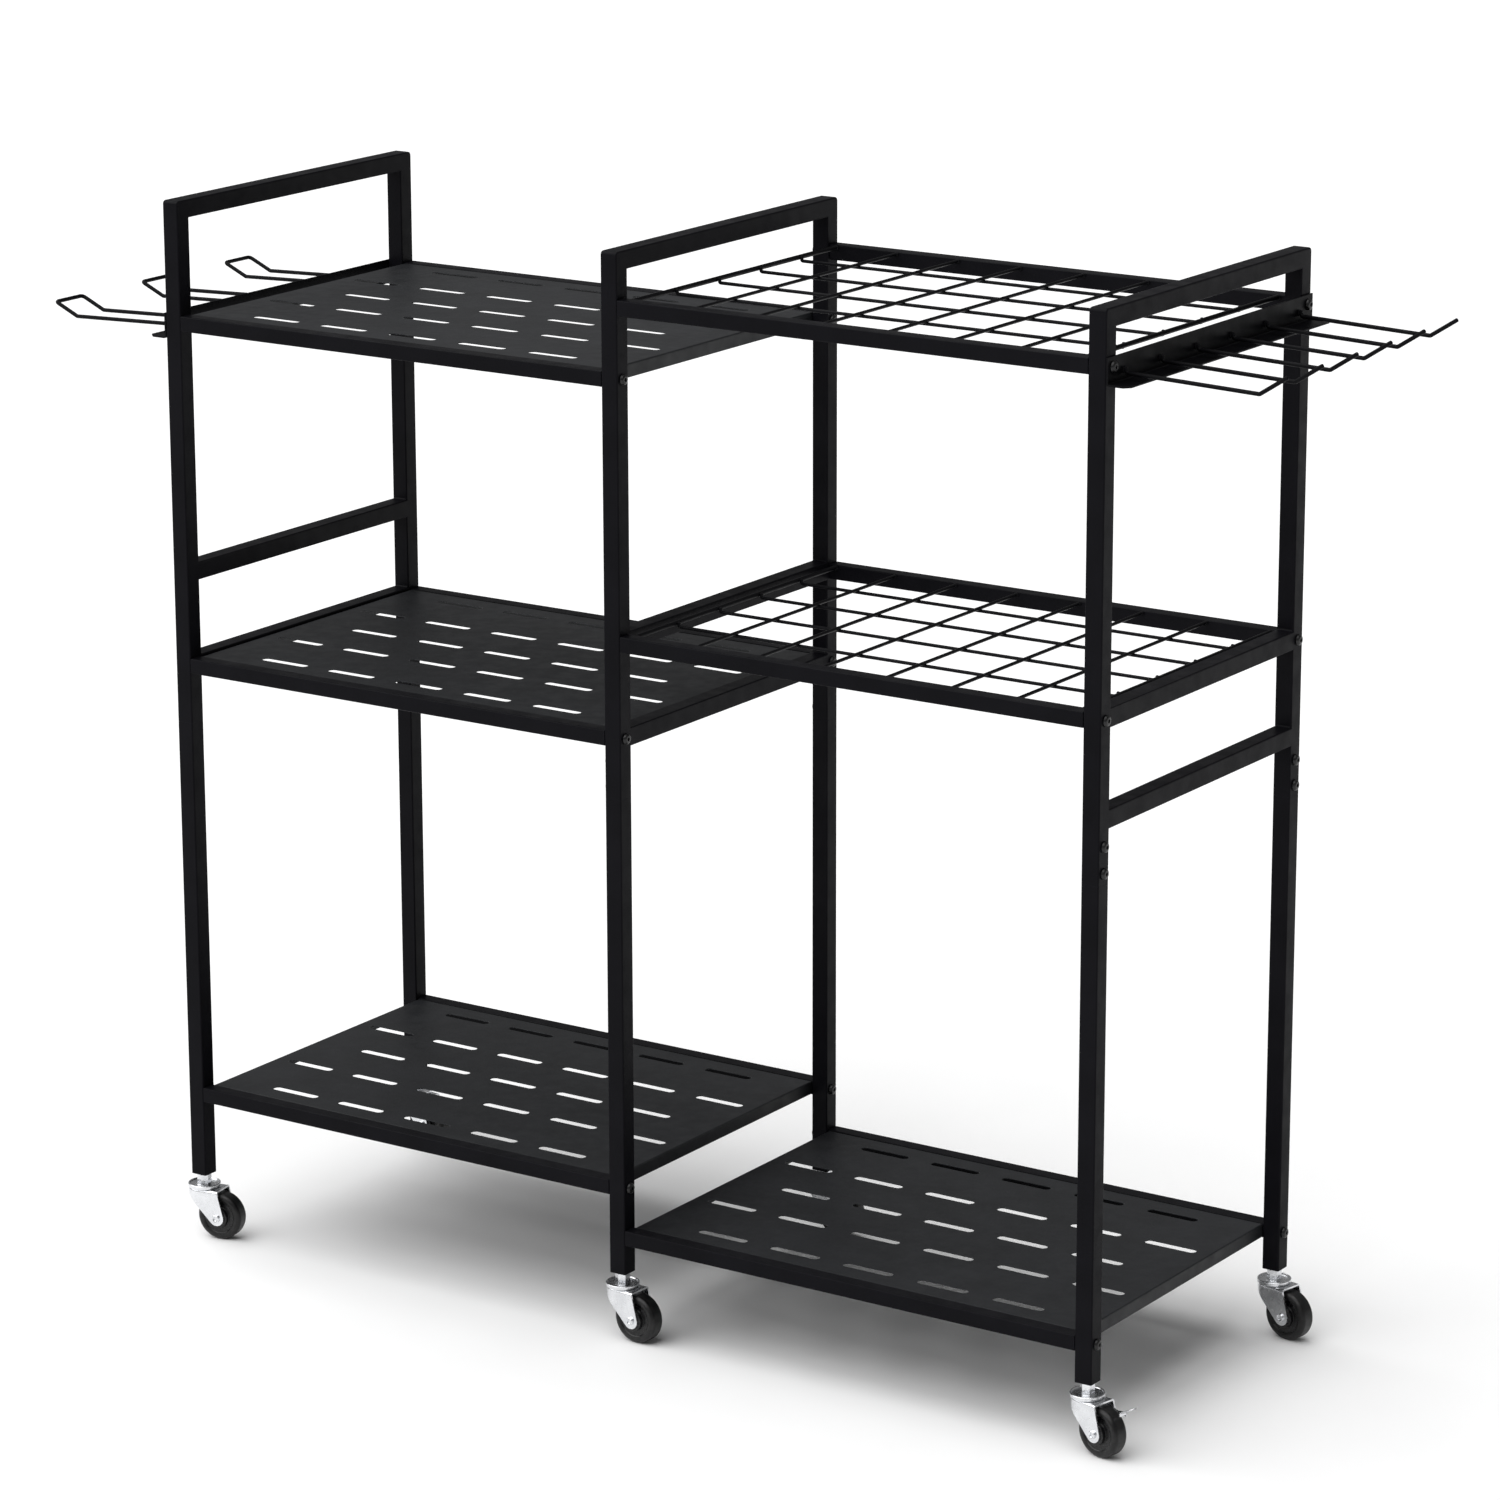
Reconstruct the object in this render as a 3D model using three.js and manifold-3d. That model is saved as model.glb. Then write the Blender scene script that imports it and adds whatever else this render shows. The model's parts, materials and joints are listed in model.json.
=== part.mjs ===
// Storage cart: three side frames of square tube, two bays of shelves, hook racks on both ends
// and six swivel casters, one of them with a brake lever.
// Millimetres. +Z up, +X along the cart, -Y is the front. Origin on the floor below the middle frame.

import * as THREE from 'three';
import { mergeVertices } from 'three/addons/utils/BufferGeometryUtils.js';
import Module from 'manifold-3d';

const wasm = await Module();
wasm.setup();

// ---------- driving dimensions ----------

const FIT = 0.3; // gap left between neighbouring pieces
const THROUGH = 1; // how far a cutting tool reaches past the face it opens

// Side frames
const TUBE = 19; // square frame tube
const WALL = 1.2;
const EDGE = 1.5; // rounding along the tube's edges
const DEPTH = 394; // front face to back face
const BAY = 528.5; // clear width between two side frames
const POST_BOTTOM = 70.5; // above the floor
const LOWER_POST = 500;
const UPPER_POST = 550;
const CORNER = 4; // rounding of the mitred corners of the handle
const BRACES = [552.5, 650.7]; // undersides of the cross braces, above the post bottoms
const SLEEVE = 48; // reach of the lower post's reduced end into the upper post
const SLEEVE_SHOULDER = 3;
const JOINT_SCREWS = [511, 537]; // above the post bottoms
const STEM_PLATE = 3; // closes the foot of each lower post
const STEM_HOLE = 5.3;

// Shelves
const RAIL = 16; // square shelf rail
const RAIL_END = 2; // end plate with the screw thread
const DRAIN = 2; // radius of the drain hole under a rail
const DRAIN_INSET = 20;
const SHELF_BOTTOMS = {
  left_top: 915.5, // rail undersides above the post bottoms
  left_middle: 553.8,
  left_bottom: 83.3,
  right_top: 987,
  right_middle: 651.5,
  right_bottom: 31.8,
};
const WIRE_SHELVES = ['right_top', 'right_middle'];

// Button-head screws
const SCREW = { shank: 3, head: 5.75, height: 3.3, sides: 8, bite: 5 };
const SCREW_HOLE = 3.5;

// Slotted panels
const SHEET = 1;
const PANEL_SINK = 0.7; // panel top below the rail tops
const PANEL_END_GAP = 1.5; // panel end to side frame
const PANEL_LIP = 10; // turned-down edge along the rails
const PANEL_END_LIP = 14; // turned-down edge at the side frames
const SLOT_LENGTH = 58;
const SLOT_WIDTH = 10;
const SLOT_PITCH = 87;
const SLOT_ROWS = [
  { y: -152, slots: 5 },
  { y: -71.5, slots: 6 },
  { y: 0, slots: 5 },
  { y: 71.5, slots: 6 },
  { y: 152, slots: 5 },
];
const SLOT_END_STEPS = 3;

// Wire mats
const WIRE = 1.75; // radius of the thin wires
const SIDE_WIRE = 2.5; // radius of the two outer wires
const WIRE_SIDES = 6;
const WIRE_SINK = 2.4; // wire centres below the rail tops
const CROSS_WIRES = 6; // run front to back
const CROSS_PITCH = 73.2;
const SIDE_WIRE_X = 256;
const LONG_WIRES = [-111, -37, 37, 111]; // run along the bay, below the others
const WELD = 0.2; // how far welded wires sink into each other

// Hook racks
const PLATE = 1.8;
const PLATE_BELOW = 17; // lower edge below the screw line
const PLATE_ABOVE = 9.8;
const FLANGE = 24;
const FLANGE_CHAMFER = 6;
const PLATE_BEND = 3; // outer radius of the fold
const HOOK_WIRE = 2.1;
const HOOK_SIDES = 8;
const PRONG_YS = [-168.6, -101.2, -33.7, 33.7, 101.2, 168.6];
const LOOP_YS = [-140, 0, 140];
const LOOP_HALF = 21.2; // half the distance between a loop's two legs
// Side view of the hooks: distance out from the side frame, height over the screw line
const PRONG_SIDE = { rise: -2.5, root: -8.3, knee: [144.5, -13], tip: [173, 5.5] };
const LOOP_SIDE = { rise: -3, root: -9, knee: [150, -14.6], tip: [178.5, -2] };
const WIRE_BEND = 4.5; // radius of the bends in the hooks
const BEND_STEPS = 2;

// Casters
const WHEEL_RADIUS = 25.5;
const TRAIL = 20.8; // stem axis to wheel axis
const FORK_TOP = 55.5;
const FORK_FRONT = 22.5; // front edge of the fork's top, ahead of the stem axis
const FORK_BACK = -17;
const FORK_BACK_LOW = 52; // height where the back edge starts to slant
const FORK_HALF = 14.2;
const FORK_SHEET = 1.8;
const FORK_TIP = 8.5; // radius of the arm ends around the axle
const FORK_TIP_ARC = [THREE.MathUtils.degToRad(13), THREE.MathUtils.degToRad(-135.6)];
const WHEEL_CLEARANCE = 27.5;
const AXLE = 3;
const AXLE_HEAD = { radius: 4.3, height: 2, sides: 12 };
const WHEEL_BORE = 3.3;
const HUB_HALF = 12.1;
const HUB_RADIUS = 11.5;
const WEB_HALF = 7.6; // half-thickness between the hub and the tyre
const WEB_RADIUS = 19;
const TYRE_HALF = 9;
const TYRE_SHOULDER = 4.5;
const WHEEL_SIDES = 20;
const KING_PIN = 4.2;
const KING_HEAD = 7.5;
const CAP_RADIUS = 17.5;
const CAP_TOP = 60;
const CAP_DISH = 58.2;
const CAP_RIM = 1.8;
const STEM = 5;
const STEM_TOP = 90;
const STEM_SIDES = 16;
const COLLAR = { across: 13, top: POST_BOTTOM - FIT }; // nut right under the post
const CASTERS = [
  { name: 'left_front', frame: -1, side: -1, yaw: 10 },
  { name: 'middle_front', frame: 0, side: -1, yaw: -4 },
  { name: 'right_front', frame: 1, side: -1, yaw: -13, brake: true },
  { name: 'left_back', frame: -1, side: 1, yaw: -7 },
  { name: 'middle_back', frame: 0, side: 1, yaw: 6 },
  { name: 'right_back', frame: 1, side: 1, yaw: -11 },
];

// Brake lever
const LEVER_PIVOT = [18, 46.5]; // ahead of the stem axis, above the floor
const LEVER_PIN = 1.9;
const LEVER_PIN_HOLE = 2.2;
const LEVER_SHEET = 1.2;
const LEVER_NEAR = 1.8; // pedal edge over the middle of the wheel
const LEVER_OUTSIDE = 11.9; // outer face of the arm beside the wheel
const LEVER_EYE = 2.9; // radius of the arm around the pivot
// Side views, ahead of the stem axis and above the floor: the arm past its eye, the pedal's
// underside and the lip that presses on the tread
const LEVER_ARM = [
  [41.4, 43],
  [41.4, 48.6],
  [39.5, 47.5],
  [30, 46],
];
const LEVER_PEDAL = [
  [41, 48],
  [45.5, 49.6],
  [58, 56.7],
];
const LEVER_LIP = [40.2, 44.8];
const LEVER_LIP_TOP = 48.7;

// ---------- values that follow ----------

const FRAME_X = BAY + TUBE; // centre of the outer side frames
const POST_Y = (DEPTH - TUBE) / 2;
const SEAM = POST_BOTTOM + LOWER_POST;
const FRAME_TOP = SEAM + UPPER_POST;
const RAIL_Y = (DEPTH - RAIL) / 2;
const RAIL_LENGTH = BAY - 2 * FIT;
const PANEL_DEPTH = DEPTH - 2 * RAIL - 2 * FIT;
const GRIP = TUBE + 2 * FIT; // rail end to the screw head on the far side of a post
const PLATE_GRIP = GRIP + PLATE + FIT;
const FACE = TUBE / 2; // side frame centre to its outer face

const railHeight = (shelf) => POST_BOTTOM + SHELF_BOTTOMS[shelf] + RAIL / 2;

// ---------- solids ----------

const AXIS = {
  x: new THREE.Vector3(1, 0, 0),
  y: new THREE.Vector3(0, 1, 0),
  z: new THREE.Vector3(0, 0, 1),
};
// A drawing in the YZ plane, extruded along X
const DRAWN_YZ = new THREE.Matrix4().makeBasis(AXIS.y, AXIS.z, AXIS.x);
// A drawing in the XZ plane, extruded towards the front (-Y)
const DRAWN_XZ = new THREE.Matrix4().makeBasis(AXIS.x, AXIS.z, AXIS.y.clone().negate());

function solid(geometry) {
  const bare = geometry.clone();
  bare.deleteAttribute('normal');
  bare.deleteAttribute('uv');
  const merged = mergeVertices(bare, 1e-4);
  const mesh = new wasm.Mesh({
    numProp: 3,
    vertProperties: new Float32Array(merged.attributes.position.array),
    triVerts: new Uint32Array(merged.index.array),
  });
  return new wasm.Manifold(mesh);
}

function geometryOf(manifold) {
  const { vertProperties, triVerts } = manifold.getMesh();
  const geometry = new THREE.BufferGeometry();
  geometry.setAttribute('position', new THREE.BufferAttribute(vertProperties, 3));
  geometry.setIndex(new THREE.BufferAttribute(triVerts, 1));
  geometry.computeVertexNormals();
  return geometry;
}

function unite(parts) {
  return parts.reduce((sum, part) => sum.add(part));
}

function box(low, high) {
  const size = high.map((value, i) => value - low[i]);
  const centre = high.map((value, i) => (value + low[i]) / 2);
  return solid(new THREE.BoxGeometry(...size).translate(...centre));
}

// A cylinder from one point to another
function rod(from, to, radius, sides) {
  const start = new THREE.Vector3(...from);
  const span = new THREE.Vector3(...to).sub(start);
  const geometry = new THREE.CylinderGeometry(radius, radius, span.length(), sides);
  const turn = new THREE.Quaternion().setFromUnitVectors(AXIS.y, span.clone().normalize());
  const centre = start.addScaledVector(span, 0.5);
  geometry.applyQuaternion(turn).translate(centre.x, centre.y, centre.z);
  return solid(geometry);
}

// A turned piece about Z; the profile holds [radius, height] pairs, rising
function turned(profile, sides) {
  const points = profile.map(([radius, height]) => new THREE.Vector2(radius, height));
  return new THREE.LatheGeometry(points, sides).rotateX(Math.PI / 2);
}

function extruded(shape, length, curveSegments = 1) {
  return new THREE.ExtrudeGeometry(shape, { depth: length, bevelEnabled: false, curveSegments });
}

function roundedSquare(size, radius) {
  const half = size / 2;
  const centre = half - radius;
  const shape = new THREE.Shape();
  shape.moveTo(centre, -half);
  shape.absarc(centre, -centre, radius, -Math.PI / 2, 0, false);
  shape.absarc(centre, centre, radius, 0, Math.PI / 2, false);
  shape.absarc(-centre, centre, radius, Math.PI / 2, Math.PI, false);
  shape.absarc(-centre, -centre, radius, Math.PI, Math.PI * 1.5, false);
  return shape;
}

// Button-head screw pointing along +X, its head's underside in the plane x = 0
function screw(length) {
  const { shank, head, height, sides } = SCREW;
  const profile = [
    [0, -length],
    [shank, -length],
    [shank, 0],
    [head, 0],
    [head * 0.7, height],
    [0, height],
  ];
  return turned(profile, sides).rotateY(Math.PI / 2);
}

// ---------- a wire bent through a list of corners ----------

class BentWire extends THREE.Curve {
  constructor(corners, radius) {
    super();
    this.points = [corners[0]];
    for (let i = 1; i < corners.length - 1; i += 1) {
      this.addBend(corners[i - 1], corners[i], corners[i + 1], radius);
    }
    this.points.push(corners[corners.length - 1]);
  }

  addBend(before, corner, after, radius) {
    const back = before.clone().sub(corner).normalize();
    const ahead = after.clone().sub(corner).normalize();
    const reach = radius / Math.tan(back.angleTo(ahead) / 2);
    const start = corner.clone().addScaledVector(back, reach);
    const end = corner.clone().addScaledVector(ahead, reach);
    const bend = new THREE.QuadraticBezierCurve3(start, corner, end);
    this.points.push(...bend.getPoints(BEND_STEPS));
  }

  get steps() {
    return this.points.length - 1;
  }

  getPoint(t) {
    const place = Math.min(Math.max(t, 0), 1) * this.steps;
    const index = Math.min(Math.floor(place), this.steps - 1);
    return this.points[index].clone().lerp(this.points[index + 1], place - index);
  }

  getPointAt(u) {
    return this.getPoint(u);
  }

  getTangentAt(u) {
    return this.getTangent(u);
  }
}

function bentWire(corners, radius, sides, bend) {
  const path = new BentWire(corners.map((corner) => new THREE.Vector3(...corner)), bend);
  const section = new THREE.Shape();
  for (let i = 0; i < sides; i += 1) {
    const angle = (2 * Math.PI * (i + 0.5)) / sides;
    const point = [radius * Math.cos(angle), radius * Math.sin(angle)];
    if (i === 0) section.moveTo(...point);
    else section.lineTo(...point);
  }
  const options = { steps: path.steps, extrudePath: path, bevelEnabled: false };
  return solid(new THREE.ExtrudeGeometry(section, options));
}

// ---------- side frames ----------

function windowPath(low, high, half) {
  const path = new THREE.Path();
  path.moveTo(-half, low);
  path.lineTo(half, low);
  path.lineTo(half, high);
  path.lineTo(-half, high);
  path.closePath();
  return path;
}

// Front view of the upper frame; a positive inset draws the hollow inside its tubes
function frameShape(inset, bottom) {
  const outer = DEPTH / 2 - inset;
  const inner = DEPTH / 2 - TUBE + inset;
  const top = FRAME_TOP - inset;
  const round = CORNER - inset;
  const [lowBrace, highBrace] = BRACES.map((height) => POST_BOTTOM + height);
  const shape = new THREE.Shape();
  shape.moveTo(outer, bottom);
  shape.absarc(outer - round, top - round, round, 0, Math.PI / 2, false);
  shape.absarc(-outer + round, top - round, round, Math.PI / 2, Math.PI, false);
  shape.lineTo(-outer, bottom);
  shape.lineTo(-inner, bottom);
  shape.lineTo(-inner, lowBrace + inset);
  shape.lineTo(inner, lowBrace + inset);
  shape.lineTo(inner, bottom);
  shape.holes.push(windowPath(lowBrace + TUBE - inset, highBrace + inset, inner));
  shape.holes.push(windowPath(highBrace + TUBE - inset, FRAME_TOP - TUBE + inset, inner));
  return shape;
}

function upperFrame(screwHeights, jointSide) {
  const skin = new THREE.ExtrudeGeometry(frameShape(0, SEAM - TUBE), {
    depth: TUBE - 2 * EDGE,
    bevelThickness: EDGE,
    bevelSize: EDGE,
    bevelOffset: -EDGE,
    bevelSegments: 1,
    curveSegments: 2,
  });
  const hollow = extruded(frameShape(WALL, SEAM - 2 * TUBE), TUBE - 2 * WALL);
  const cutters = [solid(hollow.applyMatrix4(DRAWN_YZ).translate(WALL - FACE, 0, 0))];
  cutters.push(box([-TUBE, -DEPTH, SEAM - 2 * TUBE], [TUBE, DEPTH, SEAM]));
  for (const y of [-POST_Y, POST_Y]) {
    for (const z of screwHeights) {
      cutters.push(rod([-TUBE, y, z], [TUBE, y, z], SCREW_HOLE, SCREW.sides));
    }
    for (const height of JOINT_SCREWS) {
      const z = POST_BOTTOM + height;
      cutters.push(rod([0, y, z], [jointSide * TUBE, y, z], SCREW_HOLE, SCREW.sides));
    }
  }
  const body = solid(skin.applyMatrix4(DRAWN_YZ).translate(EDGE - FACE, 0, 0));
  return body.subtract(unite(cutters));
}

// Lower post about its own axis, with its reduced upper end and the two joint screws
function lowerPost(screwHeights, jointSide) {
  const seam = SEAM - FIT;
  const top = SEAM + SLEEVE;
  const sleeve = TUBE - 2 * WALL - 2 * FIT;
  const bore = TUBE - 2 * WALL;
  const sleeveBore = sleeve - 2 * WALL;
  const floor = POST_BOTTOM + STEM_PLATE;
  const shoulder = seam - SLEEVE_SHOULDER;
  const tube = extruded(roundedSquare(TUBE, EDGE), seam - POST_BOTTOM);
  const outside = solid(tube.translate(0, 0, POST_BOTTOM));
  const reduced = box([-sleeve / 2, -sleeve / 2, shoulder], [sleeve / 2, sleeve / 2, top]);
  const cutters = [
    box([-bore / 2, -bore / 2, floor], [bore / 2, bore / 2, shoulder]),
    box([-sleeveBore / 2, -sleeveBore / 2, floor], [sleeveBore / 2, sleeveBore / 2, top + THROUGH]),
    rod([0, 0, POST_BOTTOM - THROUGH], [0, 0, floor + THROUGH], STEM_HOLE, STEM_SIDES),
  ];
  for (const z of screwHeights) {
    cutters.push(rod([-TUBE, 0, z], [TUBE, 0, z], SCREW_HOLE, SCREW.sides));
  }
  const body = outside.add(reduced).subtract(unite(cutters));
  const screws = JOINT_SCREWS.map((height) => {
    const geometry = screw(FIT + WALL + FIT + SCREW.bite).translate(FACE + FIT, 0, 0);
    if (jointSide < 0) geometry.rotateZ(Math.PI);
    return solid(geometry.translate(0, 0, POST_BOTTOM + height));
  });
  return unite([body, ...screws]);
}

// ---------- shelves ----------

// Rail centred on the origin, with the screw that holds each end on the centre line of its post
function rail(leftGrip, rightGrip, screwY) {
  const half = RAIL_LENGTH / 2;
  const inside = RAIL / 2 - WALL;
  const tube = extruded(roundedSquare(RAIL, EDGE), RAIL_LENGTH).applyMatrix4(DRAWN_YZ);
  const outside = solid(tube.translate(-half, 0, 0));
  const hollow = box([RAIL_END - half, -inside, -inside], [half - RAIL_END, inside, inside]);
  const drainX = half - DRAIN_INSET;
  const drain = rod([drainX, 0, -RAIL], [drainX, 0, 0], DRAIN, SCREW.sides);
  const right = screw(rightGrip + SCREW.bite).translate(half + rightGrip, 0, 0);
  const left = screw(leftGrip + SCREW.bite).translate(half + leftGrip, 0, 0).rotateZ(Math.PI);
  right.translate(0, screwY, 0);
  left.translate(0, screwY, 0);
  return unite([outside.subtract(unite([hollow, drain])), solid(right), solid(left)]);
}

function slotPath(centreX, centreY) {
  const radius = SLOT_WIDTH / 2;
  const straight = SLOT_LENGTH / 2 - radius;
  const path = new THREE.Path();
  for (const end of [1, -1]) {
    for (let i = 0; i <= SLOT_END_STEPS; i += 1) {
      const angle = Math.PI * (i / SLOT_END_STEPS - 0.5) + (end < 0 ? Math.PI : 0);
      const x = centreX + end * straight + radius * Math.cos(angle);
      const y = centreY + radius * Math.sin(angle);
      if (end > 0 && i === 0) path.moveTo(x, y);
      else path.lineTo(x, y);
    }
  }
  path.closePath();
  return path;
}

// Panel about the centre of its bay, its top face in the plane z = 0
function slottedPanel() {
  const halfX = BAY / 2 - PANEL_END_GAP;
  const halfY = PANEL_DEPTH / 2;
  const outline = new THREE.Shape();
  outline.moveTo(-halfX, -halfY);
  outline.lineTo(halfX, -halfY);
  outline.lineTo(halfX, halfY);
  outline.lineTo(-halfX, halfY);
  for (const row of SLOT_ROWS) {
    for (let i = 0; i < row.slots; i += 1) {
      const x = (i - (row.slots - 1) / 2) * SLOT_PITCH;
      outline.holes.push(slotPath(x, row.y));
    }
  }
  const sheet = solid(extruded(outline, SHEET).translate(0, 0, -SHEET));
  const lips = [];
  for (const side of [-1, 1]) {
    const edgeX = [side * (halfX - SHEET), side * halfX].sort((a, b) => a - b);
    const edgeY = [side * (halfY - SHEET), side * halfY].sort((a, b) => a - b);
    lips.push(box([edgeX[0], -halfY, -PANEL_END_LIP], [edgeX[1], halfY, 0]));
    lips.push(box([-halfX, edgeY[0], -PANEL_LIP], [halfX, edgeY[1], 0]));
  }
  return unite([sheet, ...lips]);
}

// Welded wire mat about the centre of its bay, with the upper wires' centres in the plane z = 0
function wireMat() {
  const end = PANEL_DEPTH / 2;
  const wires = [];
  for (let i = 0; i < CROSS_WIRES; i += 1) {
    const x = (i - (CROSS_WIRES - 1) / 2) * CROSS_PITCH;
    wires.push(rod([x, -end, 0], [x, end, 0], WIRE, WIRE_SIDES));
  }
  for (const x of [-SIDE_WIRE_X, SIDE_WIRE_X]) {
    wires.push(rod([x, -end, 0], [x, end, 0], SIDE_WIRE, HOOK_SIDES));
  }
  const below = WELD - 2 * WIRE;
  const turn = SIDE_WIRE_X - SIDE_WIRE - WIRE + 2 * WELD;
  for (const y of LONG_WIRES) {
    const corners = [
      [-turn, y, WIRE],
      [-turn, y, below],
      [turn, y, below],
      [turn, y, WIRE],
    ];
    wires.push(bentWire(corners, WIRE, WIRE_SIDES, WIRE));
  }
  return unite(wires);
}

// ---------- hook racks ----------

// Folded plate for the right end: its inner face in the plane x = 0, its screw line at z = 0
function hookPlate() {
  const inner = PLATE_BEND - PLATE;
  const low = -PLATE_BELOW;
  const profile = new THREE.Shape();
  profile.moveTo(FLANGE, low);
  profile.lineTo(FLANGE, low + PLATE);
  profile.absarc(PLATE + inner, low + PLATE_BEND, inner, -Math.PI / 2, -Math.PI, true);
  profile.lineTo(PLATE, PLATE_ABOVE);
  profile.lineTo(0, PLATE_ABOVE);
  profile.absarc(PLATE_BEND, low + PLATE_BEND, PLATE_BEND, Math.PI, Math.PI * 1.5, false);
  const folded = extruded(profile, DEPTH, 2).applyMatrix4(DRAWN_XZ).translate(0, DEPTH / 2, 0);
  const half = DEPTH / 2;
  const plan = new THREE.Shape();
  plan.moveTo(-THROUGH, -half - THROUGH);
  plan.lineTo(FLANGE - FLANGE_CHAMFER - THROUGH, -half - THROUGH);
  plan.lineTo(FLANGE, FLANGE_CHAMFER - half);
  plan.lineTo(FLANGE, half - FLANGE_CHAMFER);
  plan.lineTo(FLANGE - FLANGE_CHAMFER - THROUGH, half + THROUGH);
  plan.lineTo(-THROUGH, half + THROUGH);
  const outline = extruded(plan, 2 * DEPTH).translate(0, 0, -DEPTH);
  const holes = [-POST_Y, POST_Y].map((y) =>
    rod([-TUBE, y, 0], [TUBE, y, 0], SCREW_HOLE, SCREW.sides),
  );
  return solid(folded).intersect(solid(outline)).subtract(unite(holes));
}

// The hooks stand off the side frame by the plate and half their own wire
const HOOK_ROOT = FIT + PLATE + FIT + HOOK_WIRE;

function prong() {
  const { rise, root, knee, tip } = PRONG_SIDE;
  const corners = [
    [HOOK_ROOT, 0, rise],
    [HOOK_ROOT, 0, root],
    [knee[0], 0, knee[1]],
    [tip[0], 0, tip[1]],
  ];
  return bentWire(corners, HOOK_WIRE, HOOK_SIDES, WIRE_BEND);
}

function loop() {
  const { rise, root, knee, tip } = LOOP_SIDE;
  const leg = [
    [HOOK_ROOT, rise],
    [HOOK_ROOT, root],
    knee,
    tip,
  ];
  const near = leg.map(([out, height]) => [out, -LOOP_HALF, height]);
  const far = leg.map(([out, height]) => [out, LOOP_HALF, height]).reverse();
  return bentWire([...near, ...far], HOOK_WIRE, HOOK_SIDES, WIRE_BEND);
}

// ---------- casters, each about its stem axis, rolling towards -X ----------

function casterStem() {
  const fork = FORK_TOP + FIT;
  const under = FORK_TOP - FORK_SHEET - FIT;
  const rimInside = CAP_RADIUS - CAP_RIM;
  const profile = [
    [0, under - FORK_SHEET],
    [KING_HEAD - THROUGH, under - FORK_SHEET],
    [KING_HEAD, under],
    [KING_PIN, under],
    [KING_PIN, fork],
    [CAP_RADIUS, fork],
    [CAP_RADIUS, CAP_TOP],
    [rimInside, CAP_TOP],
    [rimInside - THROUGH, CAP_DISH],
    [STEM, CAP_DISH],
    [STEM, STEM_TOP],
    [0, STEM_TOP],
  ];
  const collar = new THREE.CylinderGeometry(
    COLLAR.across / Math.sqrt(3),
    COLLAR.across / Math.sqrt(3),
    COLLAR.top - CAP_DISH + THROUGH,
    6,
  ).rotateX(Math.PI / 2);
  collar.translate(0, 0, (COLLAR.top + CAP_DISH - THROUGH) / 2);
  return solid(turned(profile, STEM_SIDES)).add(solid(collar));
}

// Plan of the fork, rounded at the back; a positive inset draws the inside of its sheet
function forkPlan(inset) {
  const half = FORK_HALF - inset;
  const roundCentre = FORK_BACK + FORK_HALF;
  const front = FORK_FRONT + (inset > 0 ? TUBE : 0);
  const shape = new THREE.Shape();
  shape.moveTo(front, -half);
  shape.lineTo(front, half);
  shape.absarc(roundCentre, 0, half, Math.PI / 2, Math.PI * 1.5, false);
  return shape;
}

function forkSide() {
  const [front, back] = FORK_TIP_ARC;
  const shape = new THREE.Shape();
  shape.moveTo(FORK_BACK, FORK_TOP);
  shape.lineTo(FORK_BACK, FORK_BACK_LOW);
  shape.absarc(TRAIL, WHEEL_RADIUS, FORK_TIP, back, front, false);
  shape.lineTo(FORK_FRONT, FORK_TOP);
  return shape;
}

// Inside of the fork seen from the side: below its top and ahead of its slanting back wall
function forkInside() {
  const slant = FORK_TIP_ARC[1];
  const nearX = TRAIL + (FORK_TIP - FORK_SHEET) * Math.cos(slant);
  const nearZ = WHEEL_RADIUS + (FORK_TIP - FORK_SHEET) * Math.sin(slant);
  const rise = -Math.cos(slant) / Math.sin(slant);
  const backX = FORK_BACK + FORK_SHEET;
  const shape = new THREE.Shape();
  shape.moveTo(backX, FORK_TOP - FORK_SHEET);
  shape.lineTo(backX, nearZ + (nearX - backX) * -rise);
  shape.lineTo(nearX + nearZ / -rise, 0);
  shape.lineTo(2 * WHEEL_CLEARANCE, 0);
  shape.lineTo(2 * WHEEL_CLEARANCE, FORK_TOP - FORK_SHEET);
  return shape;
}

function drawnAcross(shape, half, curveSegments) {
  const geometry = extruded(shape, 2 * half, curveSegments).applyMatrix4(DRAWN_XZ);
  return solid(geometry.translate(0, half, 0));
}

function casterFork(hasBrake) {
  const inside = FORK_HALF - FORK_SHEET;
  const height = FORK_TOP + THROUGH;
  const skin = drawnAcross(forkSide(), FORK_HALF, 2).intersect(solid(extruded(forkPlan(0), height, 4)));
  const hollow = drawnAcross(forkInside(), inside, 1).intersect(
    solid(extruded(forkPlan(FORK_SHEET), height, 4)),
  );
  const cutters = [
    hollow,
    rod([TRAIL, -inside, WHEEL_RADIUS], [TRAIL, inside, WHEEL_RADIUS], WHEEL_CLEARANCE, WHEEL_SIDES),
    rod([0, 0, FORK_TOP - 2 * FORK_SHEET], [0, 0, height], KING_PIN + FIT, STEM_SIDES),
  ];
  if (hasBrake) {
    const [x, z] = LEVER_PIVOT;
    cutters.push(rod([x, 0, z], [x, TUBE, z], LEVER_PIN_HOLE, HOOK_SIDES));
  }
  const rivet = turned(
    [
      [0, -FORK_HALF - AXLE_HEAD.height],
      [AXLE_HEAD.radius, -FORK_HALF - AXLE_HEAD.height],
      [AXLE, THROUGH - FORK_HALF],
      [AXLE, FORK_HALF - THROUGH],
      [AXLE_HEAD.radius, FORK_HALF + AXLE_HEAD.height],
      [0, FORK_HALF + AXLE_HEAD.height],
    ],
    AXLE_HEAD.sides,
  );
  rivet.rotateX(Math.PI / 2).translate(TRAIL, 0, WHEEL_RADIUS);
  return skin.subtract(unite(cutters)).add(solid(rivet));
}

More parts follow.
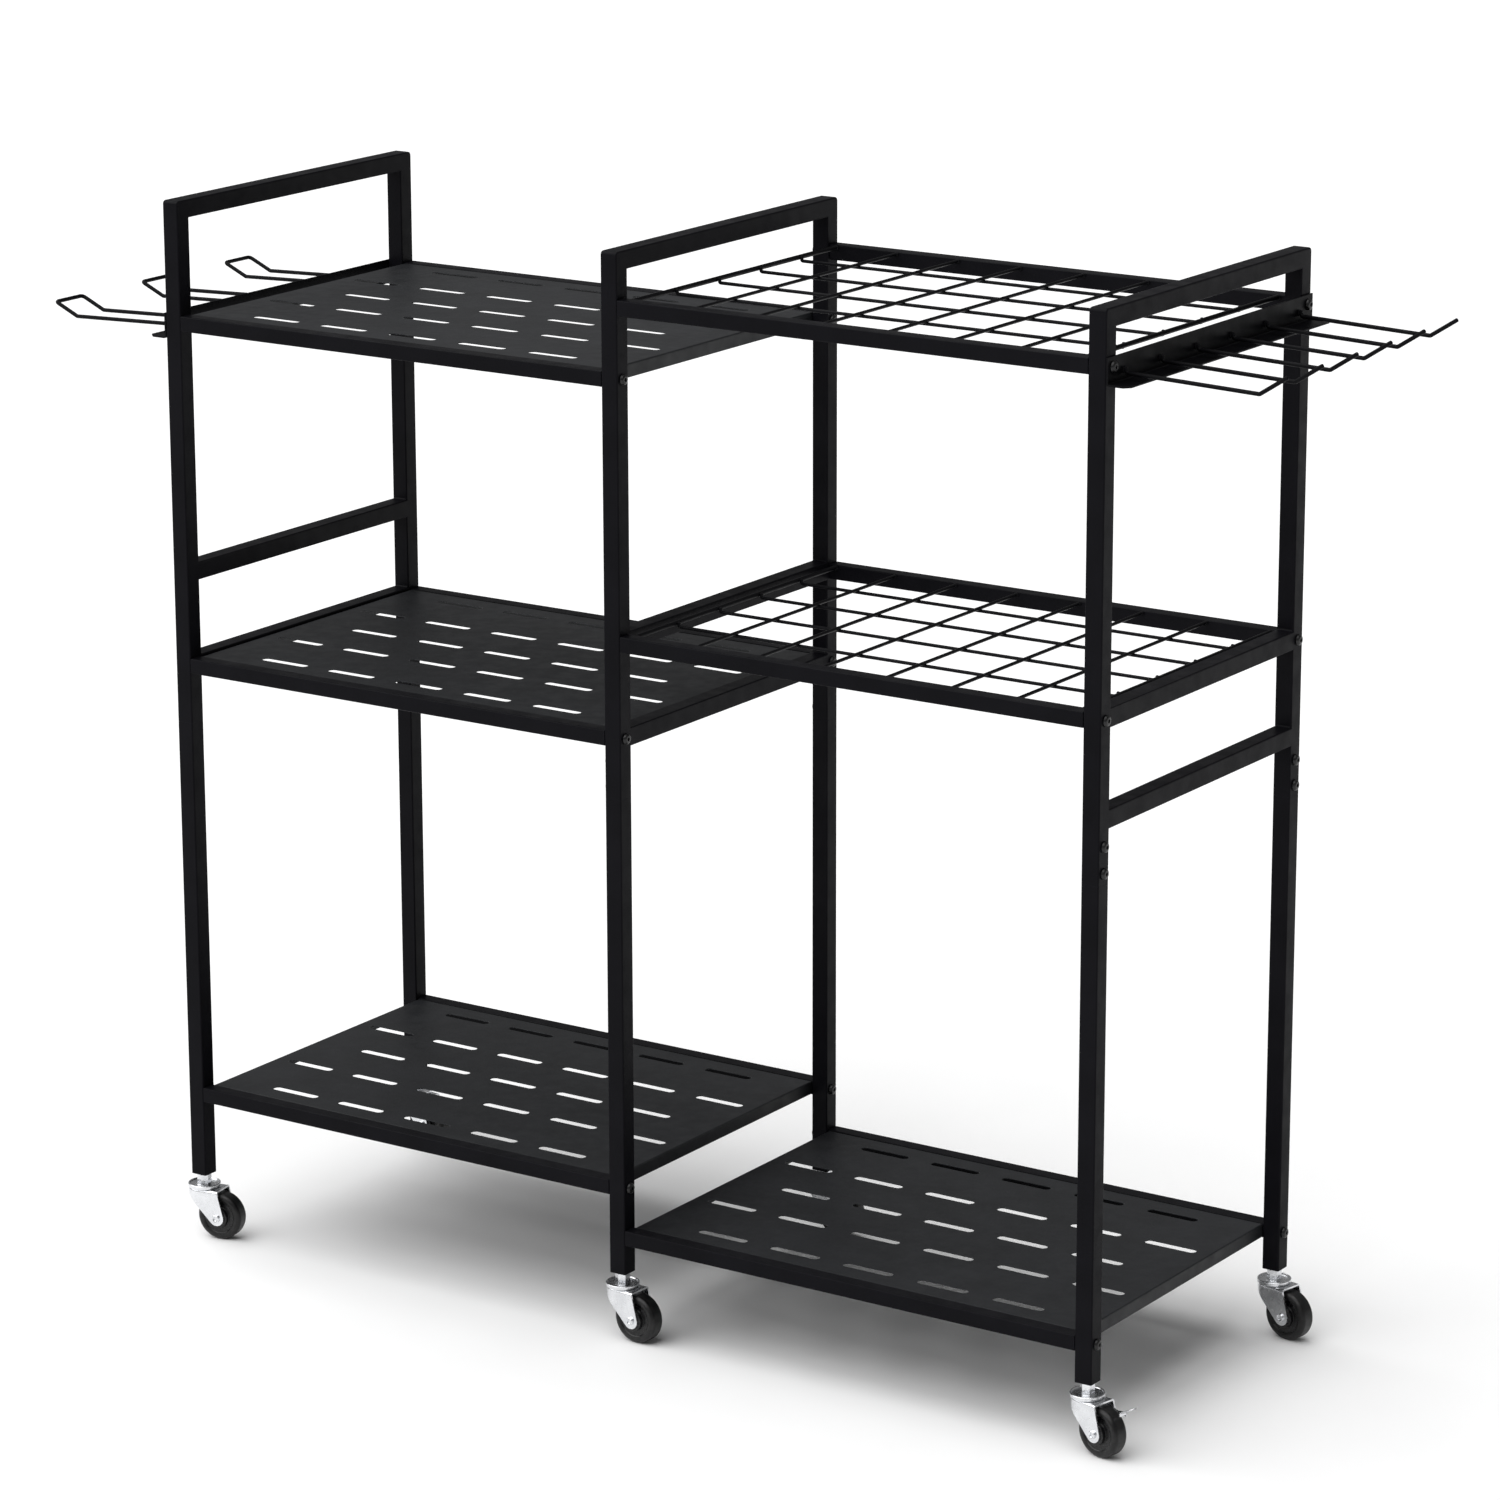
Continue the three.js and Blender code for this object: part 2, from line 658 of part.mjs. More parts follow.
// Wheel about its own axle, which runs along Y. It stands on a flat of its many-sided rim.
function casterWheel() {
  const rim = WHEEL_RADIUS / Math.cos(Math.PI / WHEEL_SIDES);
  const half = [
    [WHEEL_BORE, HUB_HALF],
    [HUB_RADIUS, HUB_HALF],
    [HUB_RADIUS, WEB_HALF],
    [WEB_RADIUS, WEB_HALF],
    [rim - TYRE_SHOULDER, TYRE_HALF],
    [rim, TYRE_HALF - TYRE_SHOULDER],
  ];
  const low = half.map(([radius, height]) => [radius, -height]);
  const profile = [...low, ...half.reverse(), low[0]];
  const flatDown = Math.PI / WHEEL_SIDES;
  return solid(turned(profile, WHEEL_SIDES).rotateZ(flatDown).rotateX(Math.PI / 2));
}

// Side view of a sheet that follows a line of points
function strip(points) {
  const shape = new THREE.Shape();
  shape.moveTo(...points[0]);
  points.slice(1).forEach((point) => shape.lineTo(...point));
  [...points].reverse().forEach(([x, z]) => shape.lineTo(x, z + LEVER_SHEET));
  return shape;
}

// Lever about the stem axis of its caster: an arm beside the wheel on the side of +Y, and a
// pedal with a lip in front of the wheel
function brakeLever() {
  const [pivotX, pivotZ] = LEVER_PIVOT;
  const [pedalStart, , pedalTip] = LEVER_PEDAL;
  const width = LEVER_OUTSIDE - LEVER_NEAR;
  const round = width / 2;
  const drawn = (shape, length, curveSegments) =>
    solid(
      extruded(shape, length, curveSegments).applyMatrix4(DRAWN_XZ).translate(0, LEVER_OUTSIDE, 0),
    );
  const arm = new THREE.Shape();
  arm.absarc(pivotX, pivotZ, LEVER_EYE, Math.PI / 2, Math.PI * 1.5, false);
  LEVER_ARM.forEach((point) => arm.lineTo(...point));
  const plan = new THREE.Shape();
  plan.moveTo(pedalStart[0], LEVER_NEAR);
  plan.absarc(pedalTip[0] - round, LEVER_NEAR + round, round, -Math.PI / 2, Math.PI / 2, false);
  plan.lineTo(pedalStart[0], LEVER_OUTSIDE);
  const pedal = drawn(strip(LEVER_PEDAL), width, 1).intersect(
    solid(extruded(plan, 2 * pedalTip[1], 3)),
  );
  const lip = box(
    [LEVER_LIP[0], LEVER_NEAR, LEVER_LIP[1]],
    [LEVER_LIP[0] + LEVER_SHEET, LEVER_OUTSIDE, LEVER_LIP_TOP],
  );
  const pinFrom = [pivotX, LEVER_OUTSIDE - LEVER_SHEET, pivotZ];
  const pin = rod(pinFrom, [pivotX, FORK_HALF + FIT, pivotZ], LEVER_PIN, HOOK_SIDES);
  return unite([drawn(arm, LEVER_SHEET, 2), pedal, lip, pin]);
}

// ---------- finishes ----------

const FINISHES = {
  frame: { color: '#232425', roughness: 0.5, metalness: 0.1 },
  panel: { color: '#303436', roughness: 0.45, metalness: 0.1 },
  wire: { color: '#2b2c2e', roughness: 0.45, metalness: 0.1 },
  hook: { color: '#1f2021', roughness: 0.5, metalness: 0.1 },
  zinc: { color: '#c4c6ca', roughness: 0.3, metalness: 0.9 },
  tyre: { color: '#1c1c1d', roughness: 0.65, metalness: 0 },
};

function piece(name, geometry, finish) {
  const mesh = new THREE.Mesh(geometry, new THREE.MeshStandardMaterial(FINISHES[finish]));
  mesh.name = name;
  return mesh;
}

// ---------- assembly ----------

const cart = new THREE.Group();
const FRAMES = [
  { name: 'left', place: -1, upper: ['left_top', 'left_middle'], lower: ['left_bottom'], joint: -1 },
  {
    name: 'middle',
    place: 0,
    upper: ['left_top', 'left_middle', 'right_top', 'right_middle'],
    lower: ['left_bottom', 'right_bottom'],
    joint: -1,
  },
  { name: 'right', place: 1, upper: ['right_top', 'right_middle'], lower: ['right_bottom'], joint: 1 },
];
const SIDES = [
  { name: 'front', sign: -1 },
  { name: 'back', sign: 1 },
];

for (const frame of FRAMES) {
  const x = frame.place * FRAME_X;
  const upper = geometryOf(upperFrame(frame.upper.map(railHeight), frame.joint));
  const mesh = piece(`upper_frame_${frame.name}`, upper, 'frame');
  mesh.position.x = x;
  cart.add(mesh);
  const post = geometryOf(lowerPost(frame.lower.map(railHeight), frame.joint));
  for (const side of SIDES) {
    const lower = piece(`lower_post_${frame.name}_${side.name}`, post, 'frame');
    lower.position.set(x, side.sign * POST_Y, 0);
    cart.add(lower);
  }
}

const panelGeometry = geometryOf(slottedPanel());
const matGeometry = geometryOf(wireMat());
for (const shelf of Object.keys(SHELF_BOTTOMS)) {
  const onLeft = shelf.startsWith('left');
  const centre = ((onLeft ? -1 : 1) * (BAY + TUBE)) / 2;
  const z = railHeight(shelf);
  const leftGrip = shelf === 'left_top' ? PLATE_GRIP : GRIP;
  const rightGrip = shelf === 'right_top' ? PLATE_GRIP : GRIP;
  for (const side of SIDES) {
    const screwY = side.sign * (POST_Y - RAIL_Y);
    const railGeometry = geometryOf(rail(leftGrip, rightGrip, screwY));
    const mesh = piece(`rail_${shelf}_${side.name}`, railGeometry, 'frame');
    mesh.position.set(centre, side.sign * RAIL_Y, z);
    cart.add(mesh);
  }
  const top = z + RAIL / 2;
  if (WIRE_SHELVES.includes(shelf)) {
    const mat = piece(`wire_mat_${shelf}`, matGeometry, 'wire');
    mat.position.set(centre, 0, top - WIRE_SINK);
    cart.add(mat);
  } else {
    const panel = piece(`panel_${shelf}`, panelGeometry, 'panel');
    panel.position.set(centre, 0, top - PANEL_SINK);
    cart.add(panel);
  }
}

// A rack is drawn for the right end; half a turn about Z takes it to the left end
function hookRack(name, shelf, turn, hookName, hookGeometry, hookYs) {
  const rack = new THREE.Group();
  rack.rotation.z = turn;
  rack.position.z = railHeight(shelf);
  const plate = piece(`hook_plate_${name}`, geometryOf(hookPlate()), 'hook');
  plate.position.x = FRAME_X + FACE + FIT;
  rack.add(plate);
  hookYs.forEach((y, index) => {
    const hook = piece(`${hookName}_${index + 1}`, hookGeometry, 'hook');
    hook.position.set(FRAME_X + FACE, y, 0);
    rack.add(hook);
  });
  return rack;
}
cart.add(hookRack('right', 'right_top', 0, 'prong', geometryOf(prong()), PRONG_YS));
cart.add(hookRack('left', 'left_top', Math.PI, 'loop_hook', geometryOf(loop()), LOOP_YS));

const stemGeometry = geometryOf(casterStem());
const wheelGeometry = geometryOf(casterWheel());
for (const caster of CASTERS) {
  const base = new THREE.Group();
  base.position.set(caster.frame * FRAME_X, caster.side * POST_Y, 0);
  base.rotation.z = THREE.MathUtils.degToRad(caster.yaw);
  base.add(piece(`caster_stem_${caster.name}`, stemGeometry, 'zinc'));
  const fork = geometryOf(casterFork(caster.brake));
  base.add(piece(`caster_fork_${caster.name}`, fork, 'zinc'));
  const wheel = piece(`caster_wheel_${caster.name}`, wheelGeometry, 'tyre');
  wheel.position.set(TRAIL, 0, WHEEL_RADIUS);
  base.add(wheel);
  if (caster.brake) base.add(piece('brake_lever', geometryOf(brakeLever()), 'zinc'));
  cart.add(base);
}

export default cart;
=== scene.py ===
"""Looks of the rolling storage cart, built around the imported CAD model.

Shapes are drawn in millimetres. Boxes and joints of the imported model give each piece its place.
"""

import json
import math

import bmesh
import bpy
from mathutils import Matrix, Vector
from mathutils.geometry import tessellate_polygon


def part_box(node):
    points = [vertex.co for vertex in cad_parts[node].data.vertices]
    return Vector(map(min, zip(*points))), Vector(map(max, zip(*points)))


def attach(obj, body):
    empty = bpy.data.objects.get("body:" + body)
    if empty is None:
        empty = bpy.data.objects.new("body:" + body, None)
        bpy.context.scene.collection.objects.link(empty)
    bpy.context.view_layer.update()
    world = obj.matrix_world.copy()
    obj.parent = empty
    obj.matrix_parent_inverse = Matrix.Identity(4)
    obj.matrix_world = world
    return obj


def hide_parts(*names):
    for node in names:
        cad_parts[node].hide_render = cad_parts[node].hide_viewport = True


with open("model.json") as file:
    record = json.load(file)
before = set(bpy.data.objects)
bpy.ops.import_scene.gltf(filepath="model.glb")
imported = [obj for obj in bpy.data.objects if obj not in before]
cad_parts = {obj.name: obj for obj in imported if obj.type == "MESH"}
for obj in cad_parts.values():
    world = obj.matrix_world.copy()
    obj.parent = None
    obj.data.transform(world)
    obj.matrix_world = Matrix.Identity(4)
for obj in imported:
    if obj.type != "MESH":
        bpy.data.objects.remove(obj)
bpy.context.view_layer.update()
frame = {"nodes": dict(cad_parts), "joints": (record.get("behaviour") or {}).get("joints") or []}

MM = 0.001
TO_METRES = Matrix.Scale(MM, 4)
JOINTS = {joint["name"]: joint for joint in frame["joints"]}


def box_mm(node):
    """Lowest and highest corner of a CAD node in millimetres."""
    low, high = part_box(node)
    return low / MM, high / MM


# ---------- dimensions, in millimetres ----------

FIT = 0.3  # gap between neighbouring pieces

frame_low, frame_high = box_mm("upper_frame_right")
post_low = box_mm("lower_post_right_front")[0]
TUBE = 19.0
TUBE_EDGE = 1.5
HALF_DEPTH = frame_high.y
POST_Y = HALF_DEPTH - TUBE / 2
OUTER_X = (frame_low.x + frame_high.x) / 2
FRAME_X = {"left": -OUTER_X, "middle": 0.0, "right": OUTER_X}
SEAM = frame_low.z
FRAME_TOP = frame_high.z
POST_BOTTOM = post_low.z
HANDLE_CORNER = 4.0
BRACE_BOTTOMS = (POST_BOTTOM + 552.5, POST_BOTTOM + 650.7)
JOINT_SCREWS = (POST_BOTTOM + 511, POST_BOTTOM + 537)
WELD = 1.8  # leg of the weld beads inside the frames' corners

RAIL = 16.0
RAIL_Y = HALF_DEPTH - RAIL / 2
RAIL_GRIP = TUBE + 2 * FIT  # rail end to the screw head on the far side of a post
DRAIN = 2.0
DRAIN_INSET = 20.0

HEAD_RADIUS = 5.75
HEAD_HEIGHT = 3.3
SHANK = 3.0
SOCKET = 3.8  # across the flats of the hexagon socket
SOCKET_DEPTH = 2.0

SHEET = 1.0
PANEL_BEND = 1.6
PANEL_LIP = 10.0
PANEL_END_LIP = 14.0
SLOT_LENGTH = 58.0
SLOT_WIDTH = 10.0
SLOT_PITCH = 87.0
SLOT_ROWS = ((-152.0, 5), (-71.5, 6), (0.0, 5), (71.5, 6), (152.0, 5))

WIRE = 1.75
SIDE_WIRE = 2.5
SIDE_WIRE_X = 256.0
CROSS_WIRES = 6
CROSS_PITCH = 73.2
LONG_WIRES = (-111.0, -37.0, 37.0, 111.0)

PLATE = 1.8
PLATE_BELOW = 17.0  # lower edge below the screw line
PLATE_ABOVE = 9.8
PLATE_BEND = 3.0
FLANGE = 24.0
FLANGE_CHAMFER = 6.0
HOOK_WIRE = 2.1
HOOK_BEND = 4.5
LOOP_HALF = 21.2
HOOK_ROOT = FIT + PLATE + FIT + HOOK_WIRE
# Side views of the hooks: distance out from the side frame, height over the screw line
PRONG_SIDE = ((HOOK_ROOT, -2.5), (HOOK_ROOT, -8.3), (144.5, -13.0), (173.0, 5.5))
LOOP_SIDE = ((HOOK_ROOT, -3.0), (HOOK_ROOT, -9.0), (150.0, -14.6), (178.5, -2.0))

WHEEL_RADIUS = 25.5
TRAIL = 20.8  # swivel axis to axle
FORK_TOP = 55.5
FORK_FRONT = 22.5
FORK_BACK = -17.0
FORK_BACK_LOW = 52.0
FORK_HALF = 14.2
FORK_SHEET = 1.8
FORK_BEND = 3.0
FORK_TIP = 8.5
FORK_TIP_ARC = (math.radians(-135.6), math.radians(13))
KING_HOLE = 4.5
KING_PIN = 4.2
KING_HEAD = 7.5
CAP_RADIUS = 17.5
CAP_TOP = 60.0
COLLAR_ACROSS = 13.0
STEM = 5.0
THREAD_PITCH = 1.5
WHEEL_BORE = 3.3
HUB_HALF = 12.1
HUB_RADIUS = 11.5
HUB_EDGE = 18.3  # where the hub's material ends and the tyre's starts
WEB_HALF = 7.6
TYRE_HALF = 9.0
TYRE_SHOULDER = 4.5

LEVER_SHEET = 1.2
LEVER_NEAR = 1.8  # pedal edge over the middle of the wheel
LEVER_OUTSIDE = 11.9  # outer face of the arm beside the wheel
LEVER_EYE = 2.9
LEVER_PIN = 1.9
LEVER_PIN_HOLE = 2.2
LEVER_PIVOT = (18.0, 46.5)
LEVER_ARM = [(41.4, 43.0), (41.4, 48.6), (39.5, 47.5), (30.0, 46.0)]
LEVER_PEDAL = [(41.0, 48.0), (45.5, 49.6), (58.0, 56.7)]
LEVER_LIP = (40.2, 44.8)
LEVER_LIP_TOP = 48.7

ROOM_LIGHT = 0.22  # brightness of the white room, which the camera sees as 1
SUN = {"direction": (-0.4, -0.4, 1), "angle": 90, "strength": 3.9}
CAMERA_PLACE = (3.05112, -4.49766, 2.04062)  # metres
CAMERA_ANGLES = (33.875, 15.07, -0.143)  # azimuth, elevation and roll in degrees
CAMERA_LENS = 132.369

# A drawing in the YZ plane, extruded along X, and one in the XZ plane, extruded towards -Y
DRAWN_YZ = Matrix(((0, 0, 1, 0), (1, 0, 0, 0), (0, 1, 0, 0), (0, 0, 0, 1)))
DRAWN_XZ = Matrix(((1, 0, 0, 0), (0, 0, -1, 0), (0, 1, 0, 0), (0, 0, 0, 1)))


# ---------- materials ----------


class Surface:
    """A node material with shorthands for noise, colour, roughness and bump."""

    def __init__(self, name):
        self.material = bpy.data.materials.new(name)
        self.material.use_nodes = True
        self.nodes = self.material.node_tree.nodes
        self.links = self.material.node_tree.links
        self.shader = self.nodes["Principled BSDF"]
        self.place = self.nodes.new("ShaderNodeTexCoord").outputs["Object"]

    def noise(self, scale, detail=3.0, stretch=(1, 1, 1)):
        mapping = self.nodes.new("ShaderNodeMapping")
        mapping.inputs["Scale"].default_value = stretch
        texture = self.nodes.new("ShaderNodeTexNoise")
        texture.inputs["Scale"].default_value = scale
        texture.inputs["Detail"].default_value = detail
        self.links.new(self.place, mapping.inputs["Vector"])
        self.links.new(mapping.outputs["Vector"], texture.inputs["Vector"])
        return texture.outputs["Fac"]

    def spread(self, fac, low, high, start=0.35, end=0.65):
        """Maps a factor's range onto a range of values."""
        node = self.nodes.new("ShaderNodeMapRange")
        node.inputs["From Min"].default_value = start
        node.inputs["From Max"].default_value = end
        node.inputs["To Min"].default_value = low
        node.inputs["To Max"].default_value = high
        self.links.new(fac, node.inputs["Value"])
        return node.outputs["Result"]

    def blend(self, fac, one, other):
        node = self.nodes.new("ShaderNodeMix")
        node.data_type = "RGBA"
        sockets = [s for s in node.inputs if s.type == "RGBA"]
        self.links.new(fac, node.inputs[0])
        for socket, colour in zip(sockets, (one, other)):
            if isinstance(colour, tuple):
                socket.default_value = (*colour, 1)
            else:
                self.links.new(colour, socket)
        return next(s for s in node.outputs if s.type == "RGBA")

    def edges(self, radius):
        """1 along edges and 0 on flat faces."""
        bevel = self.nodes.new("ShaderNodeBevel")
        bevel.samples = 4
        bevel.inputs["Radius"].default_value = radius
        geometry = self.nodes.new("ShaderNodeNewGeometry")
        dot = self.nodes.new("ShaderNodeVectorMath")
        dot.operation = "DOT_PRODUCT"
        self.links.new(bevel.outputs["Normal"], dot.inputs[0])
        self.links.new(geometry.outputs["Normal"], dot.inputs[1])
        return self.spread(dot.outputs["Value"], 1.0, 0.0, 0.8, 0.99)

    def bump(self, layers):
        """Stacks bumps, given as (height, depth in metres) pairs."""
        normal = None
        for height, depth in layers:
            node = self.nodes.new("ShaderNodeBump")
            node.inputs["Distance"].default_value = depth
            self.links.new(height, node.inputs["Height"])
            if normal is not None:
                self.links.new(normal, node.inputs["Normal"])
            normal = node.outputs["Normal"]
        self.links.new(normal, self.shader.inputs["Normal"])

    def set(self, name, value):
        if isinstance(value, (int, float)):
            self.shader.inputs[name].default_value = value
        else:
            self.links.new(value, self.shader.inputs[name])


def powder_coat(name, colour, gloss, roughness, grain):
    """Baked powder paint: orange peel, slight mottling, and a painted highlight that makes the
    edges lighter.
    """
    s = Surface(name)
    mottled = tuple(c * 1.35 for c in colour)
    # Painted highlight: the base colour turns up to 3.5 times lighter along the edges, in patches
    # set by noise, standing in for the light that the rounded edges catch.
    edge_highlight = tuple(c * 3.5 for c in colour)
    body = s.blend(s.spread(s.noise(22, 4), 0, 1), colour, mottled)
    highlight_noise = s.noise(35, 3)
    painted_highlight = s.nodes.new("ShaderNodeMath")
    painted_highlight.operation = "MULTIPLY"
    s.links.new(s.edges(0.0011), painted_highlight.inputs[0])
    s.links.new(s.spread(highlight_noise, 0.1, 1.0), painted_highlight.inputs[1])
    s.set("Base Color", s.blend(painted_highlight.outputs["Value"], body, edge_highlight))
    s.set("Roughness", s.spread(s.noise(60, 5), roughness - 0.05, roughness + 0.06))
    s.set("Specular IOR Level", gloss)
    s.bump(((s.noise(850, 2), grain), (s.noise(3200, 2), grain * 0.4)))
    return s.material


def zinc_plate(name):
    """Bright zinc on pressed steel: faint spangle, fine scratches and duller patches."""
    s = Surface(name)
    patch = s.spread(s.noise(70, 3), 0, 1)
    s.set("Base Color", s.blend(patch, (0.69, 0.70, 0.72), (0.79, 0.80, 0.82)))
    s.set("Metallic", 1.0)
    s.set("Roughness", s.spread(s.noise(420, 5), 0.2, 0.29))
    scratches = s.noise(500, 2, (1, 1, 14))
    s.bump(((scratches, 0.000008), (s.noise(700, 3), 0.000006)))
    return s.material


def black_steel(name):
    """Blackened screws: a thin satin coat, its base colour lighter along every edge of the head and
    socket.
    """
    s = Surface(name)
    s.set("Base Color", s.blend(s.edges(0.0005), (0.012, 0.012, 0.0125), (0.09, 0.09, 0.09)))
    s.set("Metallic", 0.4)
    s.set("Roughness", s.spread(s.noise(600, 3), 0.24, 0.36))
    s.bump(((s.noise(1500, 2), 0.00001),))
    return s.material


def moulded(name, colour, roughness, dust):
    """Moulded black polymer with a trace of dust in its grain."""
    s = Surface(name)
    dusty = s.spread(s.noise(180, 6), 0, dust, 0.45, 0.75)
    s.set("Base Color", s.blend(dusty, colour, (0.14, 0.135, 0.13)))
    s.set("Roughness", s.spread(s.noise(320, 4), roughness - 0.06, roughness + 0.1))
    s.set("Specular IOR Level", 0.35)
    s.bump(((s.noise(1400, 3), 0.00003),))
    return s.material


def pale_floor(name):
    """Plain, pale, matt floor paint."""
    s = Surface(name)
    s.set("Base Color", s.blend(s.noise(1.5, 4), (0.90, 0.90, 0.90), (0.93, 0.93, 0.93)))
    s.set("Roughness", s.spread(s.noise(8, 4), 0.7, 0.85))
    s.bump(((s.noise(300, 2), 0.00002),))
    return s.material


MATERIALS = {
    "frame": powder_coat("frame_coat", (0.0036, 0.0035, 0.0047), 0.05, 0.42, 0.00004),
    "panel": powder_coat("panel_coat", (0.0093, 0.0100, 0.0115), 0.26, 0.5, 0.00003),
    "wire": powder_coat("wire_coat", (0.0030, 0.0030, 0.0038), 0.07, 0.4, 0.00003),
    "hook": powder_coat("hook_coat", (0.0028, 0.0028, 0.0035), 0.06, 0.42, 0.00003),
    "zinc": zinc_plate("zinc_plate"),
    "screw": black_steel("screw_black"),
    "tyre": moulded("wheel_tread", (0.003, 0.003, 0.0033), 0.36, 0.08),
    "hub": moulded("wheel_hub", (0.004, 0.004, 0.0045), 0.26, 0.04),
}


# ---------- shapes: each is a list of points and a list of faces ----------


def signed_area(loop):
    """Area of a loop, positive when it runs anticlockwise."""
    pairs = zip(loop, loop[1:] + loop[:1])
    return sum(a[0] * b[1] - b[0] * a[1] for a, b in pairs) / 2


def arc(x, y, radius, start, end, steps):
    """Points along an arc, both ends included."""
    angles = [start + (end - start) * k / steps for k in range(steps + 1)]
    return [(x + radius * math.cos(a), y + radius * math.sin(a)) for a in angles]


def ring(radius, z, sides):
    """Points of a circle about Z."""
    return [(x, y, z) for x, y in arc(0, 0, radius, 0, 2 * math.pi, sides)[:-1]]


def inset_loop(loop, amount, kept):
    """Moves a loop's edges towards their left side, except those whose middle is kept."""
    points = [Vector(p) for p in loop]
    edges = []
    for start, end in zip(points, points[1:] + points[:1]):
        along = (end - start).normalized()
        distance = 0.0 if kept((start + end) / 2) else amount
        edges.append((Vector((-along.y, along.x)), distance))
    moved_points = []
    for i, point in enumerate(points):
        (n1, d1), (n2, d2) = edges[i - 1], edges[i]
        cross = n1.x * n2.y - n1.y * n2.x
        if abs(cross) < 1e-4:
            shift = n1 * d1
        else:
            shift = Vector((d1 * n2.y - d2 * n1.y, n1.x * d2 - n2.x * d1)) / cross
        moved_points.append(point + shift)
    return moved_points


def plate(edges, kept=lambda middle: False):
    """A solid with a flat lower and upper cap.

    Each edge is an outline with its levels, (inset, height) pairs from the lower cap to the
    upper one. The first outline is the outside and the others are holes.
    """
    points, faces, low_cap, high_cap = [], [], [], []
    for number, (outline, levels) in enumerate(edges):
        outline = list(outline)
        if (signed_area(outline) > 0) != (number == 0):
            outline.reverse()
        count, rows = len(outline), []
        for inset, height in levels:
            rows.append(range(len(points), len(points) + count))
            for p, q in zip(outline, inset_loop(outline, inset, kept)):
                points.append((q.x, q.y, height(p) if callable(height) else height))
        for below, above in zip(rows, rows[1:]):
            for i in range(count):
                j = (i + 1) % count
                faces.append((below[i], below[j], above[j], above[i]))
        low_cap.append(list(rows[0]))
        high_cap.append(list(rows[-1]))
    for cap, turn in ((low_cap, -1), (high_cap, 1)):
        indices = [i for loop in cap for i in loop]
        loops = [[Vector(points[i]) for i in loop] for loop in cap]
        for triangle in tessellate_polygon(loops):
            faces.append(tuple(indices[i] for i in triangle)[::turn])
    return points, faces


def rounded_levels(low, high, edge, steps=3):
    """Levels of a plate from low to high whose rims are rounded by edge."""
    angles = [math.pi / 2 * k / steps for k in range(steps + 1)]
    levels = [(edge * (1 - math.sin(a)), low + edge * (1 - math.cos(a))) for a in angles]
    return levels + [(inset, high + low - height) for inset, height in reversed(levels)]


def prism(loops, low, high, edge, steps=3, kept=lambda middle: False):
    """A plate of equal outlines whose rims are rounded by edge."""
    levels = rounded_levels(low, high, edge, steps)
    return plate([(loop, levels) for loop in loops], kept)


def loft(rings):
    """Joins rings of equally many points in a row and closes both ends."""
    count = len(rings[0])
    points = [tuple(p) for one in rings for p in one]
    faces = []
    for row in range(len(rings) - 1):
        for i in range(count):
            j = (i + 1) % count
            near, far = row * count, (row + 1) * count
            faces.append((near + i, near + j, far + j, far + i))
    for start, turn in ((0, -1), (len(points) - count, 1)):
        loop = [Vector(p) for p in points[start:start + count]]
        for triangle in tessellate_polygon([loop]):
            faces.append(tuple(start + i for i in triangle)[::turn])
    return points, faces


def lathe(profile, sides):
    """Turns (radius, height) pairs about Z into a solid without a bore."""
    return loft([ring(radius, z, sides) for radius, z in profile])


def turned_ring(profile, sides):
    """Turns a closed profile that stays clear of the axis."""
    points = [p for radius, z in profile for p in ring(radius, z, sides)]
    faces = []
    for row in range(len(profile)):
        near, far = row * sides, (row + 1) % len(profile) * sides
        for i in range(sides):
            j = (i + 1) % sides
            faces.append((near + i, near + j, far + j, far + i))
    return points, faces


def rounded_square(size, radius, steps=4):
    """Outline of a square with rounded corners."""
    centre = size / 2 - radius
    corners = ((1, 1), (-1, 1), (-1, -1), (1, -1))
    loop = []
    for quarter, (x, y) in enumerate(corners):
        start = math.pi / 2 * quarter
        loop += arc(x * centre, y * centre, radius, start, start + math.pi / 2, steps)
    return loop


def obround(x, y, length, width, steps=10):
    """Outline of a slot with round ends."""
    radius, straight = width / 2, (length - width) / 2
    loop = arc(x + straight, y, radius, -math.pi / 2, math.pi / 2, steps)
    return loop + arc(x - straight, y, radius, math.pi / 2, math.pi * 1.5, steps)


def bent_line(corners, radius, steps=8):
    """A line through corners, with a round bend at each inner one."""
    corners = [Vector(c) for c in corners]
    line = [corners[0]]
    for before, corner, after in zip(corners, corners[1:], corners[2:]):
        back, ahead = (before - corner).normalized(), (after - corner).normalized()
        reach = radius / math.tan(back.angle(ahead) / 2)
        start, end = corner + back * reach, corner + ahead * reach
        for k in range(steps + 1):
            t = k / steps
            line.append(start * (1 - t) ** 2 + corner * 2 * t * (1 - t) + end * t**2)
    line.append(corners[-1])
    return line


def wire(line, radius, sides=16):
    """A round wire along a line, with rounded ends."""
    line = [Vector(p) for p in line]
    first, last = (line[1] - line[0]).normalized(), (line[-1] - line[-2]).normalized()
    stations = [(p, radius) for p in line[1:-1]]
    for share in (0.45, 0.2, 0.0):
        size = radius * (1 - 0.45 + 0.45 * math.sin(math.pi / 2 * share / 0.45))
        stations.insert(0, (line[0] + first * radius * share, size))
        stations.append((line[-1] - last * radius * share, size))
    across = first.orthogonal().normalized()
    rings = []
    for i, (centre, size) in enumerate(stations):
        before, after = stations[max(i - 1, 0)][0], stations[min(i + 1, len(stations) - 1)][0]
        along = (after - before).normalized()
        across = (across - along * across.dot(along)).normalized()
        other = along.cross(across)
        angles = [2 * math.pi * k / sides for k in range(sides)]
        rings.append([centre + (across * math.cos(a) + other * math.sin(a)) * size for a in angles])
    return loft(rings)


def bead(size, sides=12, rings=6):
    """A small rounded blob of weld with half-lengths size, about the origin."""
    rows = [math.pi * (k + 0.5) / rings for k in range(rings)]
    profile = [(math.sin(a), -math.cos(a)) for a in rows]
    return placed(lathe(profile, sides), Matrix.Diagonal((*size, 1)))


